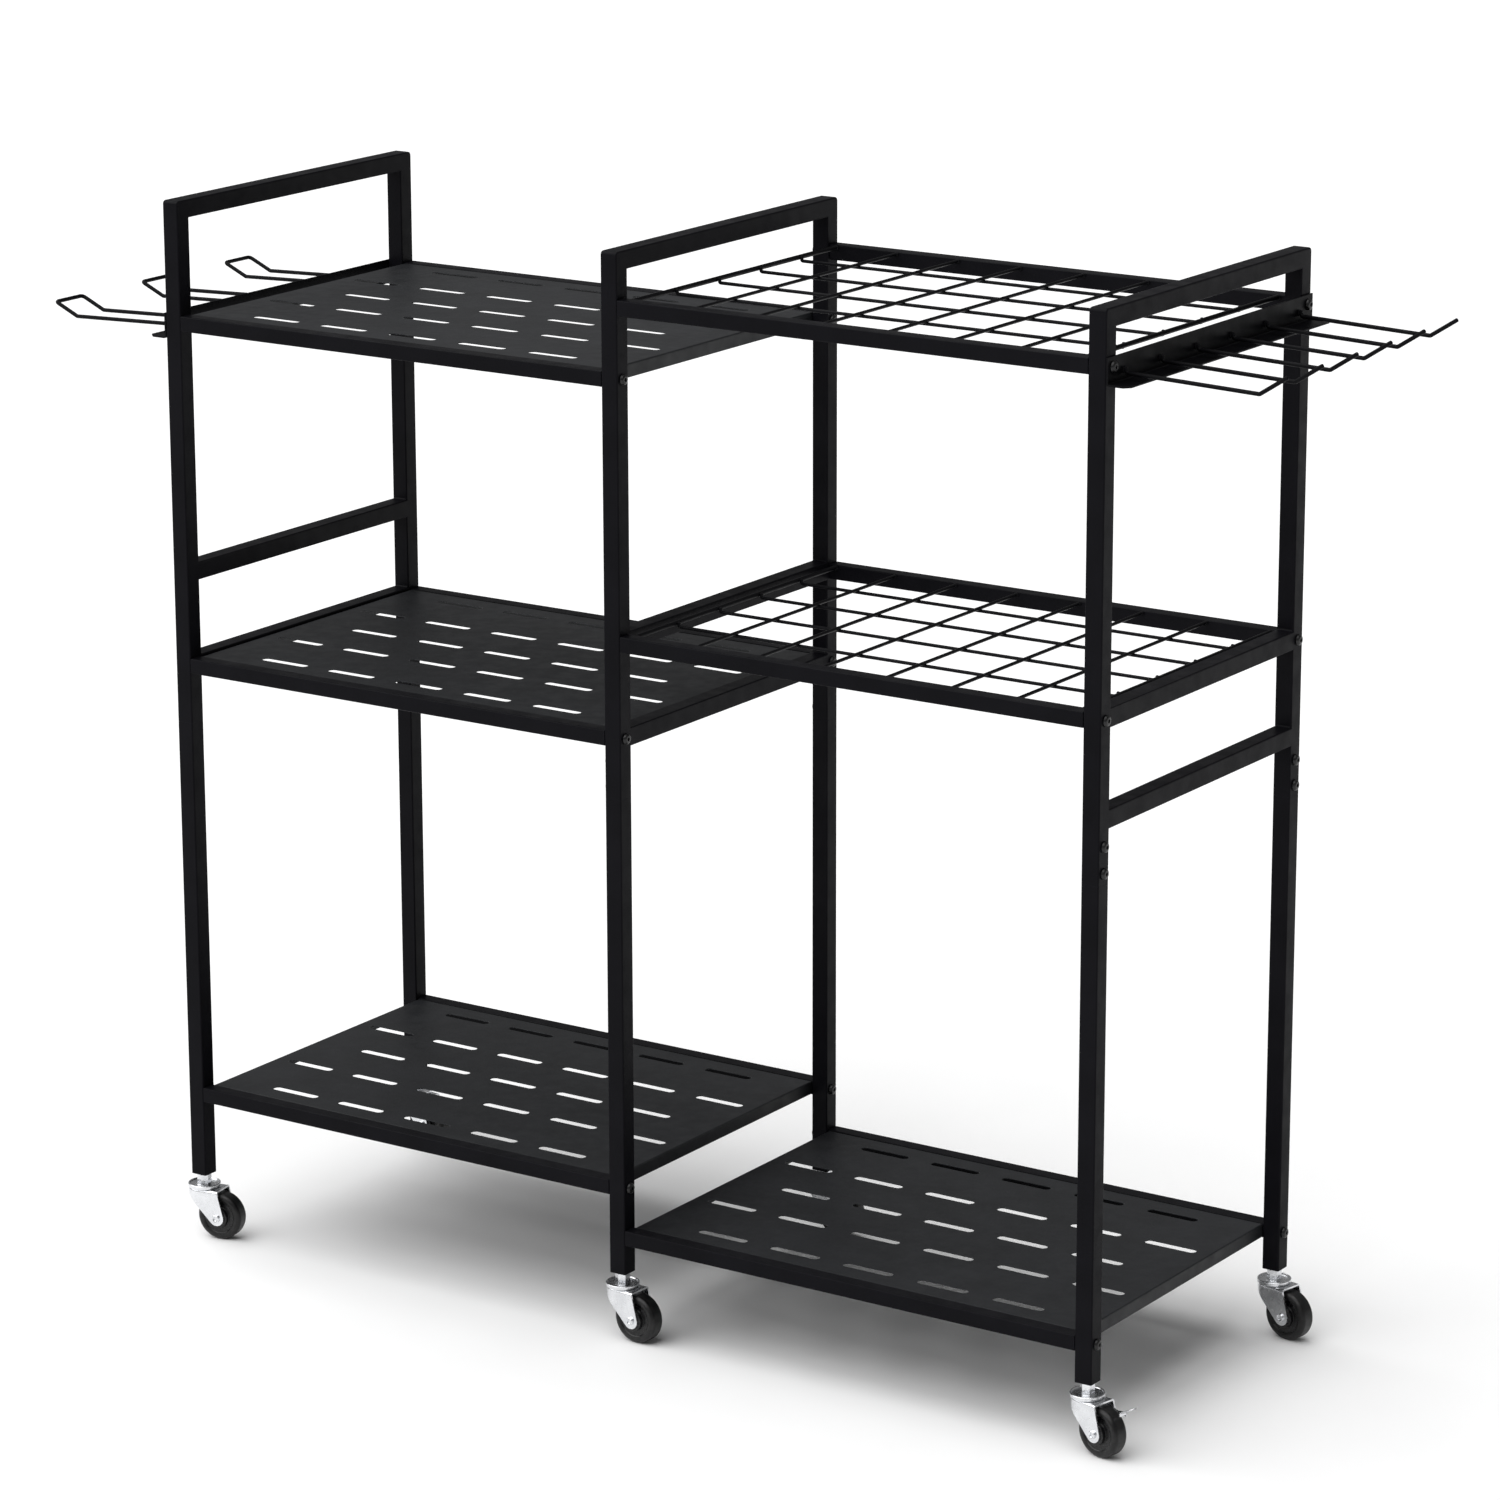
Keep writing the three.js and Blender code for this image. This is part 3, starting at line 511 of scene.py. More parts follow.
def placed(shape, matrix):
    """A shape with its points put through a matrix."""
    points, faces = shape
    return [matrix @ Vector(p) for p in points], faces


def moved(shape, x=0.0, y=0.0, z=0.0):
    """A shape moved by a distance."""
    return placed(shape, Matrix.Translation((x, y, z)))


# ---------- from shapes to pieces ----------


def mesh_of(name, shapes, smooth=38):
    """One mesh in metres from shapes in millimetres, its normals outward."""
    points, faces = [], []
    for shape_points, shape_faces in shapes:
        start = len(points)
        points += [tuple(p) for p in shape_points]
        faces += [tuple(start + i for i in face) for face in shape_faces]
    mesh = bpy.data.meshes.new(name)
    mesh.from_pydata(points, [], faces)
    mesh.transform(TO_METRES)
    form = bmesh.new()
    form.from_mesh(mesh)
    bmesh.ops.recalc_face_normals(form, faces=form.faces)
    form.to_mesh(mesh)
    form.free()
    finish_shading(mesh, smooth)
    return mesh


def finish_shading(mesh, smooth=38):
    """Smooth shading, sharp at edges that turn by more than smooth degrees."""
    mesh.shade_smooth()
    mesh.set_sharp_from_angle(angle=math.radians(smooth))


def with_modifiers(name, mesh, add_modifiers):
    """A copy of a mesh with modifiers applied."""
    thing = bpy.data.objects.new(name, mesh)
    bpy.context.scene.collection.objects.link(thing)
    add_modifiers(thing)
    graph = bpy.context.evaluated_depsgraph_get()
    made = bpy.data.meshes.new_from_object(thing.evaluated_get(graph))
    bpy.data.objects.remove(thing)
    return made


def drilled(name, mesh, cutter_mesh):
    """A copy of a mesh with the volume of another taken out of it."""
    cutter = bpy.data.objects.new(name + "_cutter", cutter_mesh)
    bpy.context.scene.collection.objects.link(cutter)

    def cut(thing):
        modifier = thing.modifiers.new("cut", "BOOLEAN")
        modifier.operation = "DIFFERENCE"
        modifier.solver = "EXACT"
        modifier.object = cutter

    made = with_modifiers(name, mesh, cut)
    bpy.data.objects.remove(cutter)
    finish_shading(made)
    return made


def piece(name, mesh, finish, body, nodes, place):
    """A piece that rides on a body and stands for CAD nodes, made from a mesh at a place."""
    mesh = mesh.copy()
    mesh.transform(place)
    if not mesh.materials:
        mesh.materials.append(MATERIALS[finish])
    thing = bpy.data.objects.new(name, mesh)
    bpy.context.scene.collection.objects.link(thing)
    normals = thing.modifiers.new("normals", "WEIGHTED_NORMAL")
    normals.keep_sharp = True
    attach(thing, body)
    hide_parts(*nodes)
    return thing


def place_mm(x, y, z, turn=0.0):
    """A matrix that turns a piece about Z and puts it at a point in millimetres."""
    return Matrix.Translation(Vector((x, y, z)) * MM) @ Matrix.Rotation(turn, 4, "Z")


# ---------- side frames ----------


def corner_weld(y, z, inward, upward):
    """A fillet of weld along X in an inner corner of a side frame."""
    hollow = arc(0, 0, WELD, math.pi, math.pi * 1.5, 4)
    section = [(0, 0)] + [(WELD + a, WELD + b) for a, b in hollow]
    section = [(y + a * inward, z + b * upward) for a, b in section]
    half = TUBE / 2 - TUBE_EDGE
    return placed(plate([(section, ((0, -half), (0, half)))]), DRAWN_YZ)


def upper_frame_shapes():
    """Two posts, handle bar and two cross braces, with welds in their corners."""
    inner = HALF_DEPTH - TUBE
    centre = (HALF_DEPTH - HANDLE_CORNER, FRAME_TOP - HANDLE_CORNER)
    low_brace, high_brace = BRACE_BOTTOMS
    outline = [(HALF_DEPTH, SEAM)]
    outline += arc(*centre, HANDLE_CORNER, 0, math.pi / 2, 6)
    outline += arc(-centre[0], centre[1], HANDLE_CORNER, math.pi / 2, math.pi, 6)
    outline += [(-HALF_DEPTH, SEAM), (-inner, SEAM)]
    outline += [(-inner, low_brace), (inner, low_brace), (inner, SEAM)]
    windows = ((low_brace + TUBE, high_brace), (high_brace + TUBE, FRAME_TOP - TUBE))
    loops = [outline]
    for low, high in windows:
        loops.append([(-inner, low), (inner, low), (inner, high), (-inner, high)])
    frame_body = prism(loops, -TUBE / 2, TUBE / 2, TUBE_EDGE, 4, lambda p: p.y < SEAM + 1)
    shapes = [placed(frame_body, DRAWN_YZ)]
    for side in (-1, 1):
        shapes.append(corner_weld(side * inner, low_brace, -side, -1))
        for low, high in windows:
            shapes.append(corner_weld(side * inner, low, -side, 1))
            shapes.append(corner_weld(side * inner, high, -side, -1))
    return shapes


def square_tube(size, low, high, rim):
    """A square tube along Z with slightly rounded end rims."""
    rings = []
    for inset, z in rounded_levels(low, high, rim, 2):
        loop = rounded_square(size - 2 * inset, max(TUBE_EDGE - inset, 0.2))
        rings.append([(x, y, z) for x, y in loop])
    return loft(rings)


def add_side_frames():
    """Three upper frames and the six posts below them."""
    upper = mesh_of("upper_frame", upper_frame_shapes())
    lower = mesh_of("lower_post", [square_tube(TUBE, POST_BOTTOM, SEAM, 0.5)])
    for name, x in FRAME_X.items():
        node = f"upper_frame_{name}"
        piece(f"{node}_tube", upper, "frame", "frame", [node], place_mm(x, 0, 0))
        for side, y in (("front", -POST_Y), ("back", POST_Y)):
            node = f"lower_post_{name}_{side}"
            piece(f"{node}_tube", lower, "frame", "frame", [node], place_mm(x, y, 0))


# ---------- screws ----------


def screw_shape():
    """Button-head screw along +Z with a hexagon socket, its underside in the plane z = 0."""
    sides = 24
    flat = SOCKET / math.sqrt(3) + 0.55
    rim, shoulder = HEAD_RADIUS - 0.12, 0.85
    bottom = HEAD_HEIGHT - SOCKET_DEPTH
    rings = [ring(SHANK, -1.5, sides), ring(SHANK, 0, sides)]
    rings += [ring(HEAD_RADIUS - 0.3, 0, sides), ring(HEAD_RADIUS, 0.3, sides)]
    rings.append(ring(HEAD_RADIUS, 0.7, sides))
    for k in range(6):
        dome = math.sqrt(1 - (1 - k / 5) ** 2)
        height = shoulder + (HEAD_HEIGHT - shoulder) * dome
        rings.append(ring(rim + (flat - rim) * k / 5, height, sides))
    for height, scale in ((HEAD_HEIGHT, 1.04), (HEAD_HEIGHT - 0.25, 1.0), (bottom, 1.0)):
        rings.append([(*p, height) for p in hexagon_ring(SOCKET / 2 * scale, sides)])
    rings.append(ring(0.3, bottom - 0.5, sides))
    return loft(rings)


def hexagon_ring(apothem, sides):
    """Points of a hexagon at evenly spaced angles."""
    points = []
    for k in range(sides):
        angle = 2 * math.pi * k / sides
        off = (angle + math.pi / 6) % (math.pi / 3) - math.pi / 6
        radius = apothem / math.cos(off)
        points.append((radius * math.cos(angle), radius * math.sin(angle)))
    return points


def add_screw(name, mesh, x, y, z, direction):
    """A screw head that looks along +X or -X."""
    turn = Matrix.Rotation(math.radians(90 * direction), 4, "Y")
    piece(name, mesh, "screw", "frame", [], place_mm(x, y, z) @ turn)


def add_joint_screws(mesh):
    """Screw heads where the lower posts enter the upper frames."""
    for name, direction in (("left", -1), ("middle", -1), ("right", 1)):
        x = FRAME_X[name] + direction * (TUBE / 2 + FIT)
        for side, y in (("front", -POST_Y), ("back", POST_Y)):
            for number, z in enumerate(JOINT_SCREWS, 1):
                add_screw(f"joint_screw_{name}_{side}_{number}", mesh, x, y, z, direction)


# ---------- shelves ----------


def rail_mesh(length):
    """Square shelf rail along X with a drain hole below."""
    tube = placed(square_tube(RAIL, -length / 2, length / 2, 0.4), DRAWN_YZ)
    rail = mesh_of("rail_plain", [tube])
    drain = lathe([(DRAIN, -RAIL), (DRAIN, -1.5)], 20)
    cutter = mesh_of("drain_hole", [moved(drain, length / 2 - DRAIN_INSET)])
    return drilled("rail", rail, cutter)


def panel_shape(half_x, half_y):
    """Slotted panel with folded edges, its top face in the plane z = 0."""
    relief = 1.2  # the long lips stop this far before the ends
    outline = []
    for x, y in ((1, 1), (-1, 1), (-1, -1), (1, -1)):
        corner = (x * half_x, y * half_y)
        beside = (x * (half_x - relief), y * half_y)
        outline += [beside, corner] if x * y < 0 else [corner, beside]
    inner_bend = PANEL_BEND - SHEET

    def lip_end(extra):
        def height(point):
            at_end = abs(abs(point[0]) - half_x) < 1e-6
            return extra - (PANEL_END_LIP if at_end else PANEL_LIP)

        return height

    levels = [(PANEL_BEND, -SHEET)]
    for k in range(1, 4):
        a = math.pi / 6 * k
        inset = PANEL_BEND - inner_bend * math.sin(a)
        levels.append((inset, -PANEL_BEND + inner_bend * math.cos(a)))
    levels += [(SHEET, lip_end(0.2)), (SHEET - 0.2, lip_end(0))]
    levels += [(0.2, lip_end(0)), (0, lip_end(0.2))]
    for k in range(4, -1, -1):
        a = math.pi / 8 * k
        levels.append((PANEL_BEND * (1 - math.sin(a)), -PANEL_BEND * (1 - math.cos(a))))
    edges = [(outline, levels)]
    for y, slots in SLOT_ROWS:
        for i in range(slots):
            x = (i - (slots - 1) / 2) * SLOT_PITCH
            hole = obround(x, y, SLOT_LENGTH, SLOT_WIDTH)
            edges.append((hole, rounded_levels(-SHEET, 0, 0.22, 2)))
    return plate(edges)


def wire_mat_shapes(half_y):
    """Welded mat with the centres of its upper wires in the plane z = 0."""
    shapes = []
    cross_xs = [(i - (CROSS_WIRES - 1) / 2) * CROSS_PITCH for i in range(CROSS_WIRES)]
    below = 0.2 - 2 * WIRE
    turn = SIDE_WIRE_X - SIDE_WIRE - WIRE + 0.3
    ends = [(x, WIRE) for x in cross_xs] + [(x, SIDE_WIRE) for x in (-SIDE_WIRE_X, SIDE_WIRE_X)]
    for x, radius in ends:
        shapes.append(wire([(x, -half_y, 0), (x, 0, 0), (x, half_y, 0)], radius))
        for side in (-1, 1):
            weld = bead((radius + 1.3, 1.6, radius + 0.5))
            shapes.append(moved(weld, x, side * (half_y - 0.6), -0.4))
    for y in LONG_WIRES:
        corners = [(-turn, y, WIRE), (-turn, y, below), (turn, y, below), (turn, y, WIRE)]
        shapes.append(wire(bent_line(corners, WIRE, 5), WIRE))
        for x in cross_xs:
            shapes.append(moved(bead((1.5, 1.5, 0.7)), x, y, below / 2))
    return shapes


def add_shelf(shelf, rail, screw, panel, mat):
    """Two rails with screw heads at their ends, and the panel or mat between them."""
    bay = -1 if shelf.startswith("left") else 1
    centre_x = bay * OUTER_X / 2
    length = OUTER_X - TUBE - 2 * FIT
    racks = {"left_top": -1, "right_top": 1}
    for side, sign in (("front", -1), ("back", 1)):
        node = f"rail_{shelf}_{side}"
        low, high = box_mm(node)
        z = (low.z + high.z) / 2
        place = place_mm(centre_x, sign * RAIL_Y, z)
        piece(f"{node}_tube", rail, "frame", "frame", [node], place)
        for direction, end in ((-1, "left"), (1, "right")):
            grip = RAIL_GRIP
            if racks.get(shelf) == direction:
                grip += PLATE + FIT
            x = centre_x + direction * (length / 2 + grip)
            add_screw(f"rail_screw_{shelf}_{side}_{end}", screw, x, sign * POST_Y, z, direction)
    panel_node, mat_node = f"panel_{shelf}", f"wire_mat_{shelf}"
    if panel_node in frame["nodes"]:
        place = place_mm(centre_x, 0, box_mm(panel_node)[1].z)
        piece(f"{panel_node}_sheet", panel, "panel", "frame", [panel_node], place)
    else:
        place = place_mm(centre_x, 0, box_mm(mat_node)[1].z - SIDE_WIRE)
        piece(f"{mat_node}_wires", mat, "wire", "frame", [mat_node], place)


# ---------- hook racks ----------


def hook_plate_shape():
    """Folded plate for the right end: inner face in the plane x = 0, screw line at z = 0."""
    inner = PLATE_BEND - PLATE
    top, low = PLATE_ABOVE, -PLATE_BELOW
    rim = 0.35
    profile = [(FLANGE, low + rim), (FLANGE, low + PLATE - rim), (FLANGE - rim, low + PLATE)]
    profile += arc(PLATE + inner, low + PLATE_BEND, inner, -math.pi / 2, -math.pi, 6)
    profile += [(PLATE, top - rim), (PLATE - rim, top), (rim, top), (0, top - rim)]
    profile += arc(PLATE_BEND, low + PLATE_BEND, PLATE_BEND, math.pi, math.pi * 1.5, 6)
    profile.append((FLANGE - rim, low))
    rings = []
    for y, reach in (
        (-HALF_DEPTH, FLANGE - FLANGE_CHAMFER),
        (FLANGE_CHAMFER - HALF_DEPTH, FLANGE),
        (HALF_DEPTH - FLANGE_CHAMFER, FLANGE),
        (HALF_DEPTH, FLANGE - FLANGE_CHAMFER),
    ):
        edge = FLANGE - 2 * rim
        rings.append([(x if x < edge else x + reach - FLANGE, y, z) for x, z in profile])
    return loft(rings)


def prong_shapes():
    """One straight hook with welds at its root."""
    line = bent_line([(x, 0, z) for x, z in PRONG_SIDE], HOOK_BEND)
    return [wire(line, HOOK_WIRE), *root_welds(0, PRONG_SIDE)]


def loop_shapes():
    """A hook of two legs joined at the tip, with welds at its roots."""
    near = [(x, -LOOP_HALF, z) for x, z in LOOP_SIDE]
    far = [(x, LOOP_HALF, z) for x, z in reversed(LOOP_SIDE)]
    line = bent_line(near + far, HOOK_BEND)
    welds = root_welds(-LOOP_HALF, LOOP_SIDE) + root_welds(LOOP_HALF, LOOP_SIDE)
    return [wire(line, HOOK_WIRE), *welds]


def root_welds(y, side):
    """Beads of weld on both sides of a hook's root, against its plate."""
    x = FIT + PLATE + 0.9
    z = (side[0][1] + side[1][1]) / 2
    return [moved(bead((1.1, 1.3, 3.2)), x, y + off, z) for off in (-1.9, 1.9)]


def add_rack(end, hook_name, hook_mesh, count, plate_mesh, turn):
    """The folded plate of one end of the cart, with its hooks."""
    node = f"hook_plate_{end}"
    low, high = box_mm(node)
    z = low.z + PLATE_BELOW
    x = max(abs(low.x), abs(high.x)) - FLANGE
    place = place_mm(0, 0, z, turn)
    piece(f"{node}_sheet", plate_mesh, "hook", "frame", [node], place @ place_mm(x, 0, 0))
    for number in range(1, count + 1):
        node = f"{hook_name}_{number}"
        low, high = box_mm(node)
        y = (low.y + high.y) / 2 * math.cos(turn)
        side_frame = place @ place_mm(OUTER_X + TUBE / 2, y, 0)
        piece(f"{node}_wire", hook_mesh, "hook", "frame", [node], side_frame)


# ---------- casters: each is drawn about its swivel axis, rolling towards -X ----------


def hexagon_collar(across, low, high):
    """Hexagonal collar with chamfered corners."""
    sides = 48
    rings = []
    for z, chamfer in ((low, 0.0), (high - 1.0, 0.0), (high, 1.1)):
        limit = across / math.sqrt(3) - chamfer
        loop = []
        for x, y in hexagon_ring(across / 2, sides):
            scale = min(1.0, limit / math.hypot(x, y))
            loop.append((x * scale, y * scale, z))
        rings.append(loop)
    return loft(rings)


def threaded_rod(radius, pitch, low, high):
    """Rod with a helical thread."""
    sides, depth = 24, 0.45
    rings = []
    for row in range(int((high - low) / pitch * 8) + 1):
        z = low + row * pitch / 8
        loop = []
        for k in range(sides):
            phase = (z / pitch - k / sides) % 1.0
            r = radius - depth * abs(2 * phase - 1)
            angle = 2 * math.pi * k / sides
            loop.append((r * math.cos(angle), r * math.sin(angle), z))
        rings.append(loop)
    return loft(rings)


def stem_shapes():
    """Raised-rim cap over the swivel bearing, king pin, hexagon collar and threaded stem."""
    cap, under = CAP_RADIUS, FORK_TOP - FORK_SHEET - FIT
    dish = CAP_TOP - 1.8
    profile = [(0.5, under - 1.8), (6.2, under - 1.8), (KING_HEAD - 0.3, under - 1.0)]
    profile += [(KING_HEAD, under), (KING_PIN, under)]
    profile += [(KING_PIN, FORK_TOP + FIT), (cap - 0.8, FORK_TOP + FIT)]
    profile += arc(cap - 0.8, FORK_TOP + FIT + 0.8, 0.8, -math.pi / 2, 0, 4)
    profile += arc(cap - 1.1, CAP_TOP - 1.1, 1.1, 0, math.pi / 2, 5)
    profile += arc(cap - 1.1, CAP_TOP - 0.9, 0.9, math.pi / 2, math.pi, 4)[1:]
    profile += [(cap - 2.5, dish + 0.2), (cap - 3.0, dish), (9.6, dish), (9.2, dish + 0.3)]
    profile += [(8.6, dish + 0.7), (0.5, dish + 0.7)]
    return [
        lathe(profile, 64),
        hexagon_collar(COLLAR_ACROSS, dish + 0.3, POST_BOTTOM - FIT),
        threaded_rod(STEM, THREAD_PITCH, POST_BOTTOM - 1.0, POST_BOTTOM + THREAD_PITCH),
    ]


def fork_edge_path():
    """Lower edge of a fork arm, from the straight side's back end to its front corner."""
    start, end = FORK_TIP_ARC
    tip = arc(TRAIL, WHEEL_RADIUS, FORK_TIP, start, end, 24)
    back = FORK_BACK + FORK_HALF
    return [(back, fork_slant(back)), *tip]


def fork_slant(x):
    """Height of the slanting lower edge of the fork at x."""
    tip_x, tip_z = arc(TRAIL, WHEEL_RADIUS, FORK_TIP, FORK_TIP_ARC[0], 0, 1)[0]
    share = (x - FORK_BACK) / (tip_x - FORK_BACK)
    return FORK_BACK_LOW + (tip_z - FORK_BACK_LOW) * share


def along_path(path, share):
    """The point at a share of a path's length."""
    spans = [math.dist(a, b) for a, b in zip(path, path[1:])]
    left = share * sum(spans)
    for (a, b), span in zip(zip(path, path[1:]), spans):
        if left <= span:
            return Vector(a).lerp(Vector(b), left / span)
        left -= span
    return Vector(path[-1])


def fork_columns():
    """Columns down the fork's outside: plan point at the top, outward normal, lower end."""
    arm_steps, hood_steps = 22, 24
    path = fork_edge_path()
    back = FORK_BACK + FORK_HALF
    columns = []
    for k in range(arm_steps + 1):
        share = 1 - k / arm_steps
        end = along_path(path, share)
        top = (back + (FORK_FRONT - back) * share, -FORK_HALF)
        columns.append((top, (0, -1), (end[0], -FORK_HALF, end[1])))
    for k in range(1, hood_steps):
        a = math.pi * 1.5 - math.pi * k / hood_steps
        normal = (math.cos(a), math.sin(a))
        top = (back + FORK_HALF * normal[0], FORK_HALF * normal[1])
        columns.append((top, normal, (*top, fork_slant(top[0]))))
    mirrored = columns[:arm_steps + 1]
    for top, _, end in reversed(mirrored):
        columns.append(((top[0], FORK_HALF), (0, 1), (end[0], FORK_HALF, end[2])))
    return columns


def fork_sheet():
    """Outside surface of the fork: top with the king pin's hole, bend, hood and two arms."""
    columns = fork_columns()
    front_steps, wall_steps, bend_steps = 6, 8, 5
    rows = []
    for share in (0.0, 0.35, 0.7, 1.0):
        row = []
        for top, normal, _ in columns:
            rim = Vector(top) - Vector(normal) * FORK_BEND
            row.append(top_point(rim, share))
        for k in range(1, front_steps):
            y = (FORK_HALF - FORK_BEND) * (1 - 2 * k / front_steps)
            row.append(top_point(Vector((FORK_FRONT, y)), share))
        rows.append(row)
    for step in range(1, bend_steps + 1):
        a = math.pi / 2 * step / bend_steps
        row = []
        for top, normal, _ in columns:
            out = Vector(top) - Vector(normal) * FORK_BEND * (1 - math.sin(a))
            row.append((out.x, out.y, FORK_TOP - FORK_BEND * (1 - math.cos(a))))
        rows.append(row)
    for step in range(1, wall_steps + 1):
        row = []
        for top, _, end in columns:
            start = Vector((*top, FORK_TOP - FORK_BEND))
            row.append(start.lerp(Vector(end), step / wall_steps))
        rows.append(row)
    points, faces, starts = [], [], []
    for row in rows:
        starts.append(len(points))
        points += [tuple(p) for p in row]
    around = len(rows[0])
    for index, (near, far) in enumerate(zip(starts, starts[1:])):
        closed = index < 3
        count = around if closed else len(columns) - 1
        for i in range(count):
            j = (i + 1) % around if closed else i + 1
            faces.append((near + i, far + i, far + j, near + j))
    return points, faces


def top_point(rim, share):
    """A point of the fork's top between the king pin's hole and the rim."""
    hole = rim.normalized() * KING_HOLE
    flat = hole.lerp(rim, share)
    return (flat.x, flat.y, FORK_TOP)


def axle_shape():
    """Riveted axle with rolled hollow ends, along Y through the wheel."""
    outer = FORK_HALF + 2.0
    end = [(2.9, FORK_HALF - 1), (3.0, FORK_HALF), (4.0, FORK_HALF), (4.3, FORK_HALF + 0.5)]
    end += [(4.2, outer - 0.4), (3.7, outer), (2.9, outer - 0.1), (2.3, outer - 0.6)]
    end += [(2.1, outer - 1.6), (0.3, outer - 1.8)]
    profile = [(r, -z) for r, z in reversed(end)] + end
    turn = Matrix.Rotation(math.radians(90), 4, "X")
    return moved(placed(lathe(profile, 32), turn), TRAIL, 0, WHEEL_RADIUS)


def fork_mesh(has_brake):
    """Pressed fork with its riveted axle."""
    def thicken(thing):
        solid = thing.modifiers.new("sheet", "SOLIDIFY")
        solid.thickness = FORK_SHEET * MM
        solid.offset = -1
        solid.use_even_offset = True
        rim = thing.modifiers.new("rim", "BEVEL")
        rim.width = 0.3 * MM
        rim.segments = 2
        rim.limit_method = "ANGLE"
        rim.angle_limit = math.radians(55)

    sheet = with_modifiers("fork_sheet", mesh_of("fork_surface", [fork_sheet()]), thicken)
    if has_brake:
        pin = lathe([(LEVER_PIN_HOLE, 0), (LEVER_PIN_HOLE, 2 * TUBE)], 24)
        pin = placed(pin, Matrix.Rotation(math.radians(-90), 4, "X"))
        cutter = mesh_of("pin_hole", [moved(pin, LEVER_PIVOT[0], 0, LEVER_PIVOT[1])])
        sheet = drilled("fork_drilled", sheet, cutter)
    form = bmesh.new()
    form.from_mesh(sheet)
    form.from_mesh(mesh_of("axle", [axle_shape()]))
    made = bpy.data.meshes.new("fork")
    form.to_mesh(made)
    form.free()
    finish_shading(made)
    return made


def wheel_mesh():
    """Wheel about its own axle, which runs along Y."""
    rim = 0.7  # rounding of the hub's rim
    half = [(WHEEL_BORE, HUB_HALF - 0.2), (WHEEL_BORE + 0.2, HUB_HALF)]
    half.append((HUB_RADIUS - rim, HUB_HALF))
    half += arc(HUB_RADIUS - rim, HUB_HALF - rim, rim, math.pi / 2, 0, 3)
    half += [(HUB_RADIUS + 0.1, WEB_HALF + 0.8), (HUB_RADIUS + 0.3, WEB_HALF + 0.3)]
    half += [(HUB_RADIUS + 0.8, WEB_HALF), (17.2, WEB_HALF), (17.7, WEB_HALF + 0.2)]
    half += [(18.0, 8.3), (18.6, 8.6), (19.4, 8.6), (19.8, 8.9), (20.2, TYRE_HALF)]
    shoulder = TYRE_SHOULDER
    half += arc(WHEEL_RADIUS - shoulder, TYRE_HALF - shoulder, shoulder, math.pi / 2, 0, 8)
    profile = half + [(radius, -z) for radius, z in reversed(half)]
    turn = Matrix.Rotation(math.radians(90), 4, "X")
    mesh = mesh_of("wheel", [placed(turned_ring(profile, 72), turn)])
    mesh.materials.append(MATERIALS["tyre"])
    mesh.materials.append(MATERIALS["hub"])
    for face in mesh.polygons:
        if math.hypot(face.center.x, face.center.z) < HUB_EDGE * MM:
            face.material_index = 1
    return mesh


def pedal_shape():
    """Pedal in front of the wheel, a bent strip with a rounded tip."""
    half = (LEVER_OUTSIDE - LEVER_NEAR) / 2
    middle = (LEVER_OUTSIDE + LEVER_NEAR) / 2
    line = bent_line([(x, middle, z) for x, z in LEVER_PEDAL], 8, 4)
    stations = []
    for a, b in zip(line, line[1:]):
        steps = max(1, round((b - a).length / 1.0))
        stations += [a.lerp(b, k / steps) for k in range(steps)]
    stations.append(line[-1])
    rim = 0.3
    rings = []
    for i, p in enumerate(stations):
        ahead = stations[min(i + 1, len(stations) - 1)] - stations[max(i - 1, 0)]
        up = Vector((-ahead.z, 0, ahead.x)).normalized()
        from_tip = max(p.x - (LEVER_PEDAL[-1][0] - half), 0.0)
        width = math.sqrt(max(half**2 - from_tip**2, 0.8))
        section = [(-width, rim), (-width + rim, 0), (width - rim, 0), (width, rim)]
        section += [(width, LEVER_SHEET - rim), (width - rim, LEVER_SHEET)]
        section += [(-width + rim, LEVER_SHEET), (-width, LEVER_SHEET - rim)]
        rings.append([p + Vector((0, y, 0)) + up * z for y, z in section])
    return loft(rings)


def lever_shapes():
    """Arm beside the wheel with its pin in the fork, lip in front of the tread, and pedal."""
    thin = LEVER_SHEET / 2
    arm = arc(*LEVER_PIVOT, LEVER_EYE, math.pi / 2, math.pi * 1.5, 12) + LEVER_ARM
    arm = placed(prism([arm], -thin, thin, 0.3, 2), DRAWN_XZ)
    low, high = LEVER_LIP[1], LEVER_LIP_TOP
    lip = [(LEVER_NEAR, low), (LEVER_OUTSIDE, low), (LEVER_OUTSIDE, high), (LEVER_NEAR, high)]
    lip = placed(prism([lip], 0, LEVER_SHEET, 0.3, 2), DRAWN_YZ)
    outer = FORK_HALF + FIT
    inner = LEVER_OUTSIDE - LEVER_SHEET
    pin = lathe([(LEVER_PIN, inner), (LEVER_PIN, outer - 0.4), (LEVER_PIN - 0.5, outer)], 20)
    pin = placed(pin, Matrix.Rotation(math.radians(-90), 4, "X"))
    return [
        moved(arm, 0, LEVER_OUTSIDE - thin),
        moved(lip, LEVER_LIP[0]),
        pedal_shape(),
        moved(pin, LEVER_PIVOT[0], 0, LEVER_PIVOT[1]),
    ]


